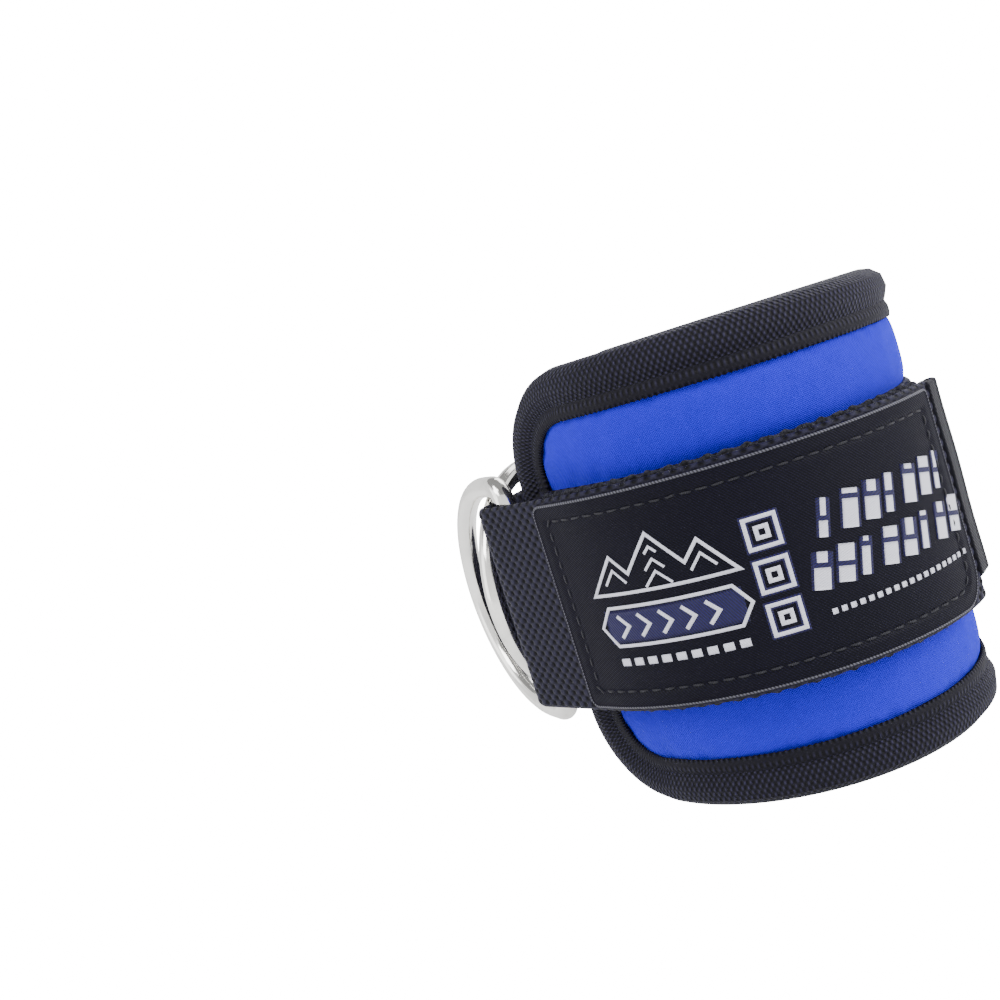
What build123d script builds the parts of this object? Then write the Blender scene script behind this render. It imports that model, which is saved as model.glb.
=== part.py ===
from build123d import *
import math
import os

# Ankle cuff with two D-rings, closed as it is worn.
# Frame: origin in the middle of the ankle opening, +Z up the leg, -Y to the front where the
# rings hang, +X to the side that carries the tail and its label. Millimetres.
# Angles called phi run clockwise from +Y, seen from above, so phi = 0 is the back of the cuff.

# --- driving dimensions -------------------------------------------------------------------
CUFF_HEIGHT = 100.0        # rim to rim
PAD_RADIUS = 42.0          # outer face of the pad, where it is round
PAD_THICKNESS = 6.0        # jersey, foam and lining together
SKIN = 0.8                 # jersey and lining, each
WRAP = 128.0               # the pad is round from -WRAP to +WRAP
WING_LENGTH = 22.0         # straight end of the pad, past the round part
TIP_RADIUS = 22.0          # rounded corners of the wings

BINDING = 0.9              # thickness of each binding flap
BINDING_CAP = 1.5          # how far the binding stands past the pad's edge
BINDING_WIDTH = 10.5       # width of the flap, rim included
THREAD = 0.3               # how proud a row of stitches stands
THREAD_WIDTH = 0.7
BINDING_SEAM = 7.5         # from the rim to the binding's stitches

STRAP_WIDTH = 49.0         # nominal 50 mm webbing
WEBBING = 2.0              # its thickness
LOOP_PILE = 1.8
HOOK_TAPE = 1.6
LABEL = 0.7
CLEARANCE = 0.3            # between pieces on different bodies

WIRE_RADIUS = 2.5
RING_HALF_LENGTH = 28.3    # centre line, along the bar
RING_LEG = 10.0            # straight side of the D
RING_CORNER = 5.0
BAR_X = 20.0               # each ring's bar, from the middle plane
BAR_Y = -49.7
LABEL_RING_ANGLE = 39.0    # how far each ring stands off the strap across the front
PLAIN_RING_ANGLE = 16.0
HINGE_GAP = 0.05           # keeper loop round the bar

KEEPER_HEIGHT = 44.0
KEEPER_WEBBING = 1.75
KEEPER_START = 15.0        # along the wing, from the end of the round part

SAG_RADIUS = 30.0          # the strap dips between the two bars
FIXED_START = -50.0        # phi where the closing strap's sewn end begins
LOOP_START = 10.0          # phi where the loop tape begins
TAIL_END = 20.0            # phi where the tail ends
TAIL_HOOK_RADIUS = 48.0    # inner face of the hook tape
TAIL_SHIFT = (-0.65, -1.79)  # the tail's arc leans forward of the ankle's axis
TAIL_GAP = 5.2             # cut between the fold and the tail, room for the tail to lift

HOOK_STRAIGHT = 6.0        # how far the hook tape runs on past the tail's arc
LABEL_HALF = 23.5          # half the label's height
LABEL_START = 24.0         # phi
LABEL_STRAIGHT = 8.0       # how far the label runs on past the tail's arc
LABEL_SEAM = 4.0           # stitches, from the label's edge
TAB_START = 12.0           # phi where the pull tab ends
TAB_LOW = -19.5            # its lower and upper end
TAB_HIGH = 24.0
TAB_FOLD = 0.6             # its folded edge, proud of the webbing on both faces

# --- worked out from them -----------------------------------------------------------------
STRAP_HALF = STRAP_WIDTH / 2
KEEPER_HOLE = WIRE_RADIUS + HINGE_GAP
KEEPER_OUTER = KEEPER_HOLE + KEEPER_WEBBING
FOLD_RADIUS = KEEPER_OUTER + CLEARANCE
TAIL_RADIUS = TAIL_HOOK_RADIUS + HOOK_TAPE
BAR = (BAR_X, BAR_Y)
AXIS = (0.0, 0.0)
SPARE = 20.0               # how far cutting shapes run past what they cut


def polar(centre, radius, phi):
    """The point at an angle clockwise from +Y."""
    a = math.radians(phi)
    return (centre[0] + radius * math.sin(a), centre[1] + radius * math.cos(a))


def along(phi):
    """The unit tangent towards larger phi."""
    a = math.radians(phi)
    return (math.cos(a), -math.sin(a))


def tangent_phi(centre, radius):
    """Where a line that touches the bar's fold also touches a circle of this radius."""
    dx, dy = BAR_X - centre[0], BAR_Y - centre[1]
    lean = math.acos((radius - FOLD_RADIUS) / math.hypot(dx, dy))
    return math.degrees(math.atan2(dx, dy) - lean)


def tangent_length(centre, radius):
    """Length of that line, from one circle to the other."""
    span = math.hypot(BAR_X - centre[0], BAR_Y - centre[1])
    return math.sqrt(span**2 - (radius - FOLD_RADIUS) ** 2)


def prism(edges, half):
    """A solid of a closed outline, from -half to +half."""
    return Pos(0, 0, -half) * extrude(Face(Wire(edges)), amount=2 * half, dir=(0, 0, 1))


def sector(centre, inner, outer, start, end, half):
    """A curved slab between two radii and two angles."""
    mid = (start + end) / 2
    a, b, c = (polar(centre, outer, p) for p in (start, mid, end))
    d, e, f = (polar(centre, inner, p) for p in (end, mid, start))
    edges = [ThreePointArc(a, b, c), Line(c, d), ThreePointArc(d, e, f), Line(f, a)]
    return prism(edges, half)


def slab(centre, inner, outer, phi, start, end, half):
    """A flat slab that leaves a circle at phi, from one distance along its tangent to another."""
    u = along(phi)
    a, b = polar(centre, inner, phi), polar(centre, outer, phi)
    ends = ((a, start), (b, start), (b, end), (a, end))
    corners = [(p[0] + u[0] * t, p[1] + u[1] * t) for p, t in ends]
    return prism(Polyline(*corners, close=True).edges(), half)


def mirrored(shape):
    """The same shape on the other side of the middle plane."""
    return mirror(shape, about=Plane.YZ)


def pad_band(low, high, half, length=WING_LENGTH):
    """A layer of the pad between two heights over its face: round back and two straight wings."""
    inner, outer = PAD_RADIUS + low, PAD_RADIUS + high
    wing = slab(AXIS, inner, outer, WRAP, 0, length, half)
    return sector(AXIS, inner, outer, -WRAP, WRAP, half) + wing + mirrored(wing)


def corner_cutter(inset):
    """What is taken off the upper corner of the +X wing to round it."""
    radius = TIP_RADIUS - inset
    reach = WING_LENGTH + BINDING_CAP - inset
    top = CUFF_HEIGHT / 2 - inset
    start, level = reach - radius, top - radius
    diagonal = radius * math.sqrt(0.5)
    arc = ThreePointArc((reach, level), (start + diagonal, level + diagonal), (start, top))
    outside = [(start, top), (start, top + SPARE), (reach + SPARE, top + SPARE),
               (reach + SPARE, level), (reach, level)]
    face = make_face([arc, Polyline(*outside)])
    root = polar(AXIS, PAD_RADIUS, WRAP)
    u = along(WRAP)
    wing = Plane(origin=(root[0], root[1], 0), x_dir=(u[0], u[1], 0), z_dir=(u[1], -u[0], 0))
    return extrude(wing * face, amount=SPARE, both=True)


def pad_outline(low, high, inset):
    """A layer of the pad whose edge lies inside the rim by inset, with its corners rounded."""
    length = WING_LENGTH + BINDING_CAP - inset
    shape = pad_band(low, high, CUFF_HEIGHT / 2 - inset, length)
    cutter = corner_cutter(inset)
    for piece in (cutter, mirror(cutter, about=Plane.XY)):
        shape = shape - piece - mirrored(piece)
    return shape


def edge_binding():
    """Tape folded round the whole edge of the pad. Its inner flap is pressed in, flush."""
    tape = pad_outline(-PAD_THICKNESS, BINDING, 0)
    core = pad_outline(BINDING - PAD_THICKNESS, 0, BINDING_CAP)
    window = pad_outline(-PAD_THICKNESS - 2, 2, BINDING_WIDTH)
    return tape - core - window


def binding_seam(low, high):
    """One row of stitches round a flap of the binding."""
    row = pad_outline(low, high, BINDING_SEAM)
    return row - pad_outline(low - 1, high + 1, BINDING_SEAM + THREAD_WIDTH)


def base_strap(binding):
    """Webbing sewn round the middle of the pad, over the binding at the two tips."""
    return pad_band(0, WEBBING, STRAP_HALF, WING_LENGTH) - binding


def row_pair(make, height):
    """The same row of stitches near the upper and the lower edge."""
    row = make(THREAD_WIDTH / 2)
    return [Pos(0, 0, side * height) * row for side in (-1, 1)]


def base_strap_stitching():
    """Two rows that hold the base strap, on the stretch that nothing else covers."""
    radius = PAD_RADIUS + WEBBING
    return row_pair(
        lambda half: sector(AXIS, radius, radius + THREAD, FIXED_START + 4, LOOP_START - 3, half),
        STRAP_HALF - 3,
    )


def loop_tape():
    """Loop pile on the base strap, where the tail closes."""
    inner, outer = PAD_RADIUS + WEBBING, PAD_RADIUS + WEBBING + LOOP_PILE
    round_part = sector(AXIS, inner, outer, LOOP_START, WRAP, STRAP_HALF - 0.5)
    return round_part + slab(AXIS, inner, outer, WRAP, 0, KEEPER_START - 2, STRAP_HALF - 0.5)


def ring_keeper():
    """Doubled webbing sewn to the +X wing, with a loop round the ring's bar."""
    low = PAD_RADIUS + WEBBING
    root = polar(AXIS, PAD_RADIUS, WRAP)
    u = along(WRAP)
    reach = (BAR_X - root[0]) * u[0] + (BAR_Y - root[1]) * u[1]
    half = KEEPER_HEIGHT / 2
    leg = slab(AXIS, low, low + 2 * KEEPER_WEBBING, WRAP, KEEPER_START, reach, half)
    loop = Pos(BAR_X, BAR_Y, 0) * Cylinder(KEEPER_OUTER, KEEPER_HEIGHT)
    hole = Pos(BAR_X, BAR_Y, 0) * Cylinder(KEEPER_HOLE, KEEPER_HEIGHT + 2)
    return leg + loop - hole


def keeper_bartack():
    """Dense stitches across the keeper's leg."""
    top = PAD_RADIUS + WEBBING + 2 * KEEPER_WEBBING
    rows = []
    for start in (KEEPER_START + 1.0, KEEPER_START + 3.2):
        rows.append(slab(AXIS, top, top + THREAD, WRAP, start, start + 1.2, KEEPER_HEIGHT / 2 - 3))
    return rows


def d_ring(direction):
    """Welded wire D on its bar, pointing along a direction given in degrees from +X."""
    half, corner = RING_HALF_LENGTH, RING_CORNER
    turn = corner * (1 - math.sqrt(0.5))
    far = RING_LEG + half
    path = Wire([
        Line((0, 0, corner - half), (0, 0, half - corner)),
        ThreePointArc((0, 0, half - corner), (turn, 0, half - turn), (corner, 0, half)),
        Line((corner, 0, half), (RING_LEG, 0, half)),
        ThreePointArc((RING_LEG, 0, half), (far, 0, 0), (RING_LEG, 0, -half)),
        Line((RING_LEG, 0, -half), (corner, 0, -half)),
        ThreePointArc((corner, 0, -half), (turn, 0, turn - half), (0, 0, corner - half)),
    ])
    section = Plane(origin=(0, 0, corner - half), z_dir=(0, 0, 1)) * Circle(WIRE_RADIUS)
    return Rot(0, 0, direction) * sweep(section, path=path)


def closing_strap():
    """Webbing sewn to the -X wing, over that ring's bar, across the front and over the other."""
    seat = PAD_RADIUS + WEBBING
    leave = tangent_phi(AXIS, seat)
    line = tangent_length(AXIS, seat)
    fold_outer = FOLD_RADIUS + WEBBING
    drop = math.sqrt((SAG_RADIUS + fold_outer) ** 2 - BAR_X**2)
    sag_centre = (0.0, BAR_Y - drop)
    sag_half = math.degrees(math.atan2(BAR_X, drop))
    fixed = sector(AXIS, seat, seat + WEBBING, -FIXED_START, leave, STRAP_HALF)
    fixed = fixed + slab(AXIS, seat, seat + WEBBING, leave, 0, line, STRAP_HALF)
    fixed = fixed + sector(BAR, FOLD_RADIUS, fold_outer, leave, 180 + sag_half, STRAP_HALF)
    dip = sector(sag_centre, SAG_RADIUS, SAG_RADIUS + WEBBING, -sag_half, sag_half, STRAP_HALF)
    turn = tangent_phi(TAIL_SHIFT, TAIL_RADIUS)
    fold = sector(BAR, FOLD_RADIUS, fold_outer, turn, 180 + sag_half, STRAP_HALF)
    return mirrored(fixed) + dip + fold


def closing_strap_stitching():
    """A box of stitches where the closing strap is sewn to the base strap."""
    radius = PAD_RADIUS + 2 * WEBBING
    start, end = -FIXED_START + 4, -FIXED_START + 34
    height = STRAP_HALF - 4
    shape = sector(AXIS, radius, radius + THREAD, start, end, height)
    trim = math.degrees(THREAD_WIDTH / radius)
    hole = sector(AXIS, radius - 1, radius + 1, start + trim, end - trim, height - THREAD_WIDTH)
    return mirrored(shape - hole)


def tail_layer(low, high, start, straight, half):
    """A layer of the tail between two heights over its webbing's inner face."""
    turn = tangent_phi(TAIL_SHIFT, TAIL_RADIUS)
    inner, outer = TAIL_RADIUS + low, TAIL_RADIUS + high
    arc = sector(TAIL_SHIFT, inner, outer, start, turn, half)
    return arc + slab(TAIL_SHIFT, inner, outer, turn, 0, straight, half)


def tail_webbing():
    """The strap's free end, lying over the +X wing and round to the back."""
    straight = tangent_length(TAIL_SHIFT, TAIL_RADIUS) - TAIL_GAP
    return tail_layer(0, WEBBING, TAIL_END, straight, STRAP_HALF)


def label_stitching():
    """Rows of stitches that frame the label."""
    low, high = WEBBING + LABEL, WEBBING + LABEL + THREAD
    height = LABEL_HALF - LABEL_SEAM
    trim = math.degrees(LABEL_SEAM / TAIL_RADIUS)
    frame = tail_layer(low, high, LABEL_START + trim, LABEL_STRAIGHT - LABEL_SEAM, height)
    thread = math.degrees(THREAD_WIDTH / TAIL_RADIUS)
    inner_straight = LABEL_STRAIGHT - LABEL_SEAM - THREAD_WIDTH
    inner_start = LABEL_START + trim + thread
    hole = tail_layer(low - 0.5, high + 1, inner_start, inner_straight, height - THREAD_WIDTH)
    return frame - hole


def end_tab():
    """Folded pull tab that stands past the end of the tail."""
    inner, outer = TAIL_RADIUS - TAB_FOLD, TAIL_RADIUS + WEBBING + TAB_FOLD
    tab = sector(TAIL_SHIFT, inner, outer, TAB_START, TAIL_END, (TAB_HIGH - TAB_LOW) / 2)
    return Pos(0, 0, (TAB_HIGH + TAB_LOW) / 2) * tab


def build():
    """Every node by name."""
    inner_seam = binding_seam(-PAD_THICKNESS, THREAD - PAD_THICKNESS)
    binding = edge_binding()
    strap = base_strap(binding)
    outer_seam = binding_seam(BINDING, BINDING + THREAD) - strap
    keeper = ring_keeper()
    bartack = keeper_bartack()
    label_ring = Pos(BAR_X, BAR_Y, 0) * d_ring(180 + LABEL_RING_ANGLE)
    plain_ring = Pos(-BAR_X, BAR_Y, 0) * d_ring(-PLAIN_RING_ANGLE)
    return {
        "foam_core": pad_outline(SKIN - PAD_THICKNESS, -SKIN, BINDING_CAP) - binding,
        "face_fabric": pad_outline(-SKIN, 0, BINDING_CAP),
        "inner_lining": pad_outline(-PAD_THICKNESS, SKIN - PAD_THICKNESS, BINDING_CAP) - binding,
        "edge_binding": binding - inner_seam,
        "binding_thread_outer": outer_seam,
        "binding_thread_inner": inner_seam,
        "base_strap": strap,
        "base_strap_stitching": base_strap_stitching(),
        "loop_tape": loop_tape(),
        "ring_keeper_label_side": keeper,
        "ring_keeper_plain_side": mirrored(keeper),
        "keeper_bartack_label_side": bartack,
        "keeper_bartack_plain_side": [mirrored(row) for row in bartack],
        "d_ring_label_side": label_ring,
        "d_ring_plain_side": plain_ring,
        "closing_strap": closing_strap(),
        "closing_strap_stitching": closing_strap_stitching(),
        "tail_webbing": tail_webbing(),
        "hook_tape": tail_layer(-HOOK_TAPE, 0, TAIL_END + 2, HOOK_STRAIGHT, STRAP_HALF - 0.5),
        "label_patch": tail_layer(WEBBING, WEBBING + LABEL, LABEL_START, LABEL_STRAIGHT, LABEL_HALF),
        "label_stitching": label_stitching(),
        "end_tab": end_tab(),
    }


def solids_of(shape):
    """The separate solids of a shape or of a list of shapes."""
    if isinstance(shape, (list, ShapeList)):
        return [solid for item in shape for solid in item.solids()]
    return shape.solids()


def main():
    """Write one STEP file for each node."""
    os.makedirs("parts", exist_ok=True)
    for name, shape in build().items():
        solids = solids_of(shape)
        body = solids[0] if len(solids) == 1 else Compound(children=solids)
        body.label = name
        export_step(body, f"parts/{name}.step")
        print(name, len(solids), round(sum(solid.volume for solid in solids), 1))


main()
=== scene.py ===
"""Looks of an ankle cuff with two D-rings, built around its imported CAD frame.

Origin in the middle of the ankle opening, +Z up the leg, -Y to the front where the rings
hang, +X to the side that carries the tail and its label. Angles called phi run clockwise from
+Y, seen from above. Sizes are in millimetres and become metres where a mesh is written.
Cloth is laid out on a track: s is the distance along it, z the height, o the offset outwards.
"""

import logging
import math
from dataclasses import dataclass, field
from enum import Enum
from typing import Callable, Sequence

import bpy
import numpy as np
from mathutils import Matrix, Vector


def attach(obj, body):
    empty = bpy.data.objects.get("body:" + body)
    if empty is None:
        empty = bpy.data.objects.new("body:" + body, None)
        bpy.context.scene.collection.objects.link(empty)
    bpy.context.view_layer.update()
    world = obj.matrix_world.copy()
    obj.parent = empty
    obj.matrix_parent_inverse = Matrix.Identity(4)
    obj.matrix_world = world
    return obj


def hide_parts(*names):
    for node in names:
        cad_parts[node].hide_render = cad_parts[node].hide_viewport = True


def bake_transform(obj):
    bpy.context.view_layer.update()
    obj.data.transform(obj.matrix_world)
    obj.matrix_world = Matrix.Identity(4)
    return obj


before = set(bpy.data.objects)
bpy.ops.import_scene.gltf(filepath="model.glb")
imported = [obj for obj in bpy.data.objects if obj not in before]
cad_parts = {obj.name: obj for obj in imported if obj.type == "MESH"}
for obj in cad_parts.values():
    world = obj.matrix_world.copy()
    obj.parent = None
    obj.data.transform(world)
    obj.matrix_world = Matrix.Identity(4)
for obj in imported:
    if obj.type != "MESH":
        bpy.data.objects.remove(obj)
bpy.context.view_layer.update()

LOG = logging.getLogger("ankle_cuff")
MM = 0.001
TURN = 2 * math.pi
STITCH = 3.1
WEAVE_RISE = 0.46
WEAVE_SINK = 0.26
Array = np.ndarray
Point = tuple[float, float]
Colour = tuple[float, float, float]
Relief = Callable[[Array, Array], Array]


# --- sizes ---------------------------------------------------------------------------------
@dataclass(frozen=True)
class CuffSizes:
    """The CAD model's driving dimensions, in millimetres and degrees."""

    height: float = 100.0
    pad_radius: float = 42.0
    pad_thickness: float = 6.0
    skin: float = 0.8
    wrap: float = 128.0
    wing: float = 22.0
    tip_radius: float = 22.0
    binding_cap: float = 1.5
    binding_width: float = 10.5
    binding_seam: float = 7.3
    strap_half: float = 24.5
    webbing: float = 2.0
    loop_pile: float = 1.8
    hook_tape: float = 1.6
    label: float = 0.7
    wire_radius: float = 2.5
    ring_half: float = 28.3
    ring_leg: float = 10.0
    ring_corner: float = 5.0
    bar: Point = (20.0, -49.7)
    label_ring_angle: float = 39.0
    plain_ring_angle: float = 16.0
    keeper_height: float = 44.0
    keeper_webbing: float = 1.75
    keeper_start: float = 15.0
    keeper_hole: float = 2.6
    fold_radius: float = 4.6
    sag_radius: float = 30.0
    fixed_start: float = -50.0
    loop_start: float = 10.0
    tail_end: float = 20.0
    tail_radius: float = 49.6
    tail_shift: Point = (-0.65, -1.79)
    hook_straight: float = 6.0
    label_half: float = 23.5
    label_start: float = 24.0
    label_straight: float = 8.0
    label_seam: float = 4.0
    tab_start: float = 12.0
    tab_low: float = -19.5
    tab_high: float = 24.0

    @property
    def rim(self) -> float:
        """Half the cuff's height."""
        return self.height / 2

    @property
    def round_half(self) -> float:
        """Length of the pad's face from the back to where a wing begins."""
        return self.pad_radius * math.radians(self.wrap)


SIZES = CuffSizes()


# --- tracks --------------------------------------------------------------------------------
def radial(phi: Array | float) -> Array:
    """Unit vectors away from a centre at angles phi, in degrees clockwise from +Y."""
    turned = np.radians(phi)
    return np.stack([np.sin(turned), np.cos(turned)], -1)


def along(phi: float) -> Array:
    """Unit tangent towards larger phi."""
    turned = math.radians(phi)
    return np.array([math.cos(turned), -math.sin(turned)])


def smooth(value: Array) -> Array:
    """Zero below 0, one above 1, and 3t^2 - 2t^3 between."""
    t = np.clip(value, 0.0, 1.0)
    return t * t * (3 - 2 * t)


@dataclass(frozen=True)
class Bend:
    """Part of a circle; side is -1 where the outward side faces the circle's centre."""

    centre: Point
    radius: float
    start: float
    end: float
    side: float = 1.0

    @property
    def length(self) -> float:
        """Length of the arc."""
        return self.radius * math.radians(abs(self.end - self.start))

    def at(self, t: Array) -> tuple[Array, Array]:
        """Points and outward normals.

        Args:
            t: Distances from the start.

        Returns:
            centre + radius * radial(phi), and side * radial(phi), with phi growing by
            t / radius from start towards end.
        """
        turn = math.copysign(1.0, self.end - self.start)
        out = radial(self.start + turn * np.degrees(t / self.radius))
        return np.array(self.centre) + self.radius * out, self.side * out


@dataclass(frozen=True)
class Run:
    """A straight stretch."""

    origin: Point
    heading: Point
    length: float
    normal: Point

    def at(self, t: Array) -> tuple[Array, Array]:
        """Points and outward normals.

        Args:
            t: Distances from the start.

        Returns:
            origin + t * heading, and the same normal everywhere.
        """
        points = np.array(self.origin) + t[..., None] * np.array(self.heading)
        return points, np.broadcast_to(np.array(self.normal), points.shape)


@dataclass(frozen=True)
class Track:
    """Bends and runs end to end, measured from a first distance."""

    pieces: tuple[Bend | Run, ...]
    first: float = 0.0

    @property
    def length(self) -> float:
        """Length of all its pieces."""
        return sum(piece.length for piece in self.pieces)

    def reach(self, count: int) -> float:
        """Distance at which its first count pieces end."""
        return self.first + sum(piece.length for piece in self.pieces[:count])

    def at(self, s: Array) -> tuple[Array, Array]:
        """Points and outward normals.

        Args:
            s: Distances; past either end the last piece goes on.

        Returns:
            The points and unit normals, each (..., 2).
        """
        s = np.asarray(s, float)
        points = np.empty(s.shape + (2,))
        normals = np.empty(s.shape + (2,))
        last = len(self.pieces) - 1
        for index, piece in enumerate(self.pieces):
            low = self.reach(index)
            here = np.ones(s.shape, bool)
            if index > 0:
                here &= s >= low
            if index < last:
                here &= s < low + piece.length
            points[here], normals[here] = piece.at(s[here] - low)
        return points, normals

    def lay(self, s: Array, z: Array, offset: Array) -> Array:
        """Places cloth.

        Args:
            s: Distances along the track.
            z: Heights.
            offset: Distances outwards.

        Returns:
            (point(s) + offset * normal(s), z), one XYZ for each.
        """
        s, z, offset = np.broadcast_arrays(s, z, offset)
        points, normals = self.at(s)
        return np.concatenate([points + normals * offset[..., None], z[..., None]], -1)


@dataclass(frozen=True)
class RoundedOutline:
    """A rectangle in s and z with its own radius at each corner, clockwise from upper left."""

    left: float
    right: float
    low: float
    high: float
    radii: tuple[float, float, float, float]

    def loop(self) -> Track:
        """Its edge as a closed track.

        Returns:
            Four runs and four corners, clockwise from the upper left, with normals outwards.
        """
        left, right, low, high = self.left, self.right, self.low, self.high
        a, b, c, d = self.radii
        return Track((
            Run((left + a, high), (1, 0), right - left - a - b, (0, 1)),
            Bend((right - b, high - b), b, 0, 90),
            Run((right, high - b), (0, -1), high - low - b - c, (1, 0)),
            Bend((right - c, low + c), c, 90, 180),
            Run((right - c, low), (-1, 0), right - left - c - d, (0, -1)),
            Bend((left + d, low + d), d, 180, 270),
            Run((left, low + d), (0, 1), high - low - d - a, (-1, 0)),
            Bend((left + a, high - a), a, 270, 360),
        ))

    def depth(self, s: Array, z: Array) -> Array:
        """How far inside the edge points lie.

        Args:
            s: Distances along the track.
            z: Heights.

        Returns:
            The rounded rectangle's signed distance, positive inside.
        """
        a, b, c, d = self.radii
        x = s - (self.left + self.right) / 2
        y = z - (self.low + self.high) / 2
        radius = np.where(y > 0, np.where(x < 0, a, b), np.where(x < 0, d, c))
        over_x = np.abs(x) - (self.right - self.left) / 2 + radius
        over_y = np.abs(y) - (self.high - self.low) / 2 + radius
        outside = np.hypot(np.maximum(over_x, 0), np.maximum(over_y, 0))
        return radius - outside - np.minimum(np.maximum(over_x, over_y), 0)

    def edges(self, s: Array, inset: float) -> tuple[Array, Array]:
        """The outline's height along its length.

        Args:
            s: Distances along the track.
            inset: How far the outline is moved in.

        Returns:
            Lowest and highest z at each s.
        """

        def drop(reach: Array, radius: float) -> Array:
            """How far a corner has fallen away: r - sqrt(t * (2r - t)) at t from the side.

            Args:
                reach: Distances from the outline's end.
                radius: The corner's radius.

            Returns:
                The fall at each distance, zero past the corner.
            """
            size = max(radius - inset, 0.01)
            t = np.clip(reach - inset, 0, size)
            return size - np.sqrt(np.maximum(t * (2 * size - t), 0))

        a, b, c, d = self.radii
        from_left, from_right = s - self.left, self.right - s
        high = self.high - inset - drop(from_left, a) - drop(from_right, b)
        low = self.low + inset + drop(from_left, d) + drop(from_right, c)
        return low, high


# --- meshes --------------------------------------------------------------------------------
def grid_faces(rows: int, columns: int, wrap_rows: bool, wrap_columns: bool) -> Array:
    """Corners of a grid's faces.

    Args:
        rows: Rows of points.
        columns: Points in a row.
        wrap_rows: Whether the last row joins the first.
        wrap_columns: Whether each row closes.

    Returns:
        Four (row, column) pairs for each face, not wrapped, as an (n, 4, 2) array.
    """
    i, j = np.meshgrid(np.arange(rows - (not wrap_rows)), np.arange(columns - (not wrap_columns)),
                       indexing="ij")
    corners = np.stack([np.stack([i + di, j + dj], -1) for di, dj in ((0, 0), (0, 1), (1, 1), (1, 0))], -2)
    return corners.reshape(-1, 4, 2)


def volume_of(points: Array, quads: Array) -> float:
    """Six times the volume inside quads: the sum of the triple products of their triangles."""
    a, b, c, d = (points[quads[:, k]] for k in range(4))
    return float(np.einsum("ij,ij->", a, np.cross(b, c)) + np.einsum("ij,ij->", a, np.cross(c, d)))


@dataclass
class ShellMesh:
    """Closed shells gathered into one mesh, in millimetres, with cloth coordinates as UVs."""

    points: list[Array] = field(default_factory=list)
    faces: list[list[int]] = field(default_factory=list)
    uvs: list[Array] = field(default_factory=list)
    count: int = 0

    def add(self, points: Array, uv: Array, wrap_rows: bool = False, wrap_columns: bool = True) -> None:
        """Adds one grid of points whose rows close, capped where the rows do not join.

        Args:
            points: Rows of points, (rows, columns, 3).
            uv: Pattern coordinates, one more in each direction that wraps.
            wrap_rows: Whether the last row joins the first.
            wrap_columns: Whether each row closes.
        """
        rows, columns = points.shape[:2]
        pairs = grid_faces(rows, columns, wrap_rows, wrap_columns)
        quads = pairs[..., 0] % rows * columns + pairs[..., 1] % columns
        centred = points.reshape(-1, 3) - points.reshape(-1, 3).mean(0)
        inside_out = volume_of(centred, quads) < 0
        if inside_out:
            quads, pairs = quads[:, ::-1], pairs[:, ::-1]
        self.points.append(points.reshape(-1, 3))
        self.faces.extend((quads + self.count).tolist())
        self.uvs.append(uv[pairs[..., 0], pairs[..., 1]].reshape(-1, 2))
        if not wrap_rows:
            for row, forward in ((0, not inside_out), (rows - 1, inside_out)):
                order = np.arange(columns) if forward else np.arange(columns)[::-1]
                self.faces.append((row * columns + order + self.count).tolist())
                self.uvs.append(uv[row, order])
        self.count += rows * columns

    def add_copies(self, points: Array, uv: Array) -> None:
        """Adds many like shells.

        Args:
            points: (copies, rows, columns, 3), each a grid whose rows close.
            uv: Pattern coordinates of one copy, (rows, columns + 1, 2).
        """
        copies, rows, columns = points.shape[:3]
        pairs = grid_faces(rows, columns, False, True)
        quads = pairs[..., 0] * columns + pairs[..., 1] % columns
        first = points[0].reshape(-1, 3)
        inside_out = volume_of(first - first.mean(0), quads) < 0
        if inside_out:
            quads, pairs = quads[:, ::-1], pairs[:, ::-1]
        starts = self.count + np.arange(copies) * rows * columns
        self.points.append(points.reshape(-1, 3))
        self.faces.extend((quads[None] + starts[:, None, None]).reshape(-1, 4).tolist())
        self.uvs.append(np.tile(uv[pairs[..., 0], pairs[..., 1]].reshape(-1, 2), (copies, 1)))
        for row, forward in ((0, not inside_out), (rows - 1, inside_out)):
            order = np.arange(columns) if forward else np.arange(columns)[::-1]
            self.faces.extend((row * columns + order[None] + starts[:, None]).tolist())
            self.uvs.append(np.tile(uv[row, order], (copies, 1)))
        self.count += copies * rows * columns

    def make(self, name: str) -> bpy.types.Object:
        """Writes the mesh, in metres, to a new smooth-shaded object.

        Args:
            name: The object's name.

        Returns:
            The object, at the origin.
        """
        mesh = bpy.data.meshes.new(name)
        mesh.from_pydata((np.concatenate(self.points) * MM).tolist(), [], self.faces)
        layer = mesh.uv_layers.new(name="cloth")
        layer.data.foreach_set("uv", np.concatenate(self.uvs).astype(np.float32).ravel())
        mesh.polygons.foreach_set("use_smooth", np.ones(len(mesh.polygons), bool))
        mesh.update()
        piece = bpy.data.objects.new(name, mesh)
        bpy.context.collection.objects.link(piece)
        return piece


def settle(piece: bpy.types.Object, finish: "Finish", body: str,
           stands_for: Sequence[str] = ()) -> bpy.types.Object:
    """Dresses a piece, hides the CAD nodes it stands for and lets it ride.

    Args:
        piece: The new object.
        finish: What it is made of.
        body: The CAD body it moves with.
        stands_for: CAD nodes that it replaces.

    Returns:
        The same object.
    """
    piece.data.materials.append(finish.material())
    if stands_for:
        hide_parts(*stands_for)
    if body:
        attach(piece, body)
    LOG.info("%s: %d faces on %s", piece.name, len(piece.data.polygons), body or "two bodies")
    return piece


def spaced(start: float, end: float, step: float) -> Array:
    """Evenly spaced values from start to end, about a step apart."""
    return np.linspace(start, end, max(2, int(round(abs(end - start) / step)) + 1))


def with_ends(values: Array, reach: float) -> Array:
    """The values with three more close to each end, so that a cut end can be rounded."""
    close = np.array([0.12, 0.35, 0.7]) * reach
    return np.unique(np.concatenate([values, values[0] + close, values[-1] - close]))


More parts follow.
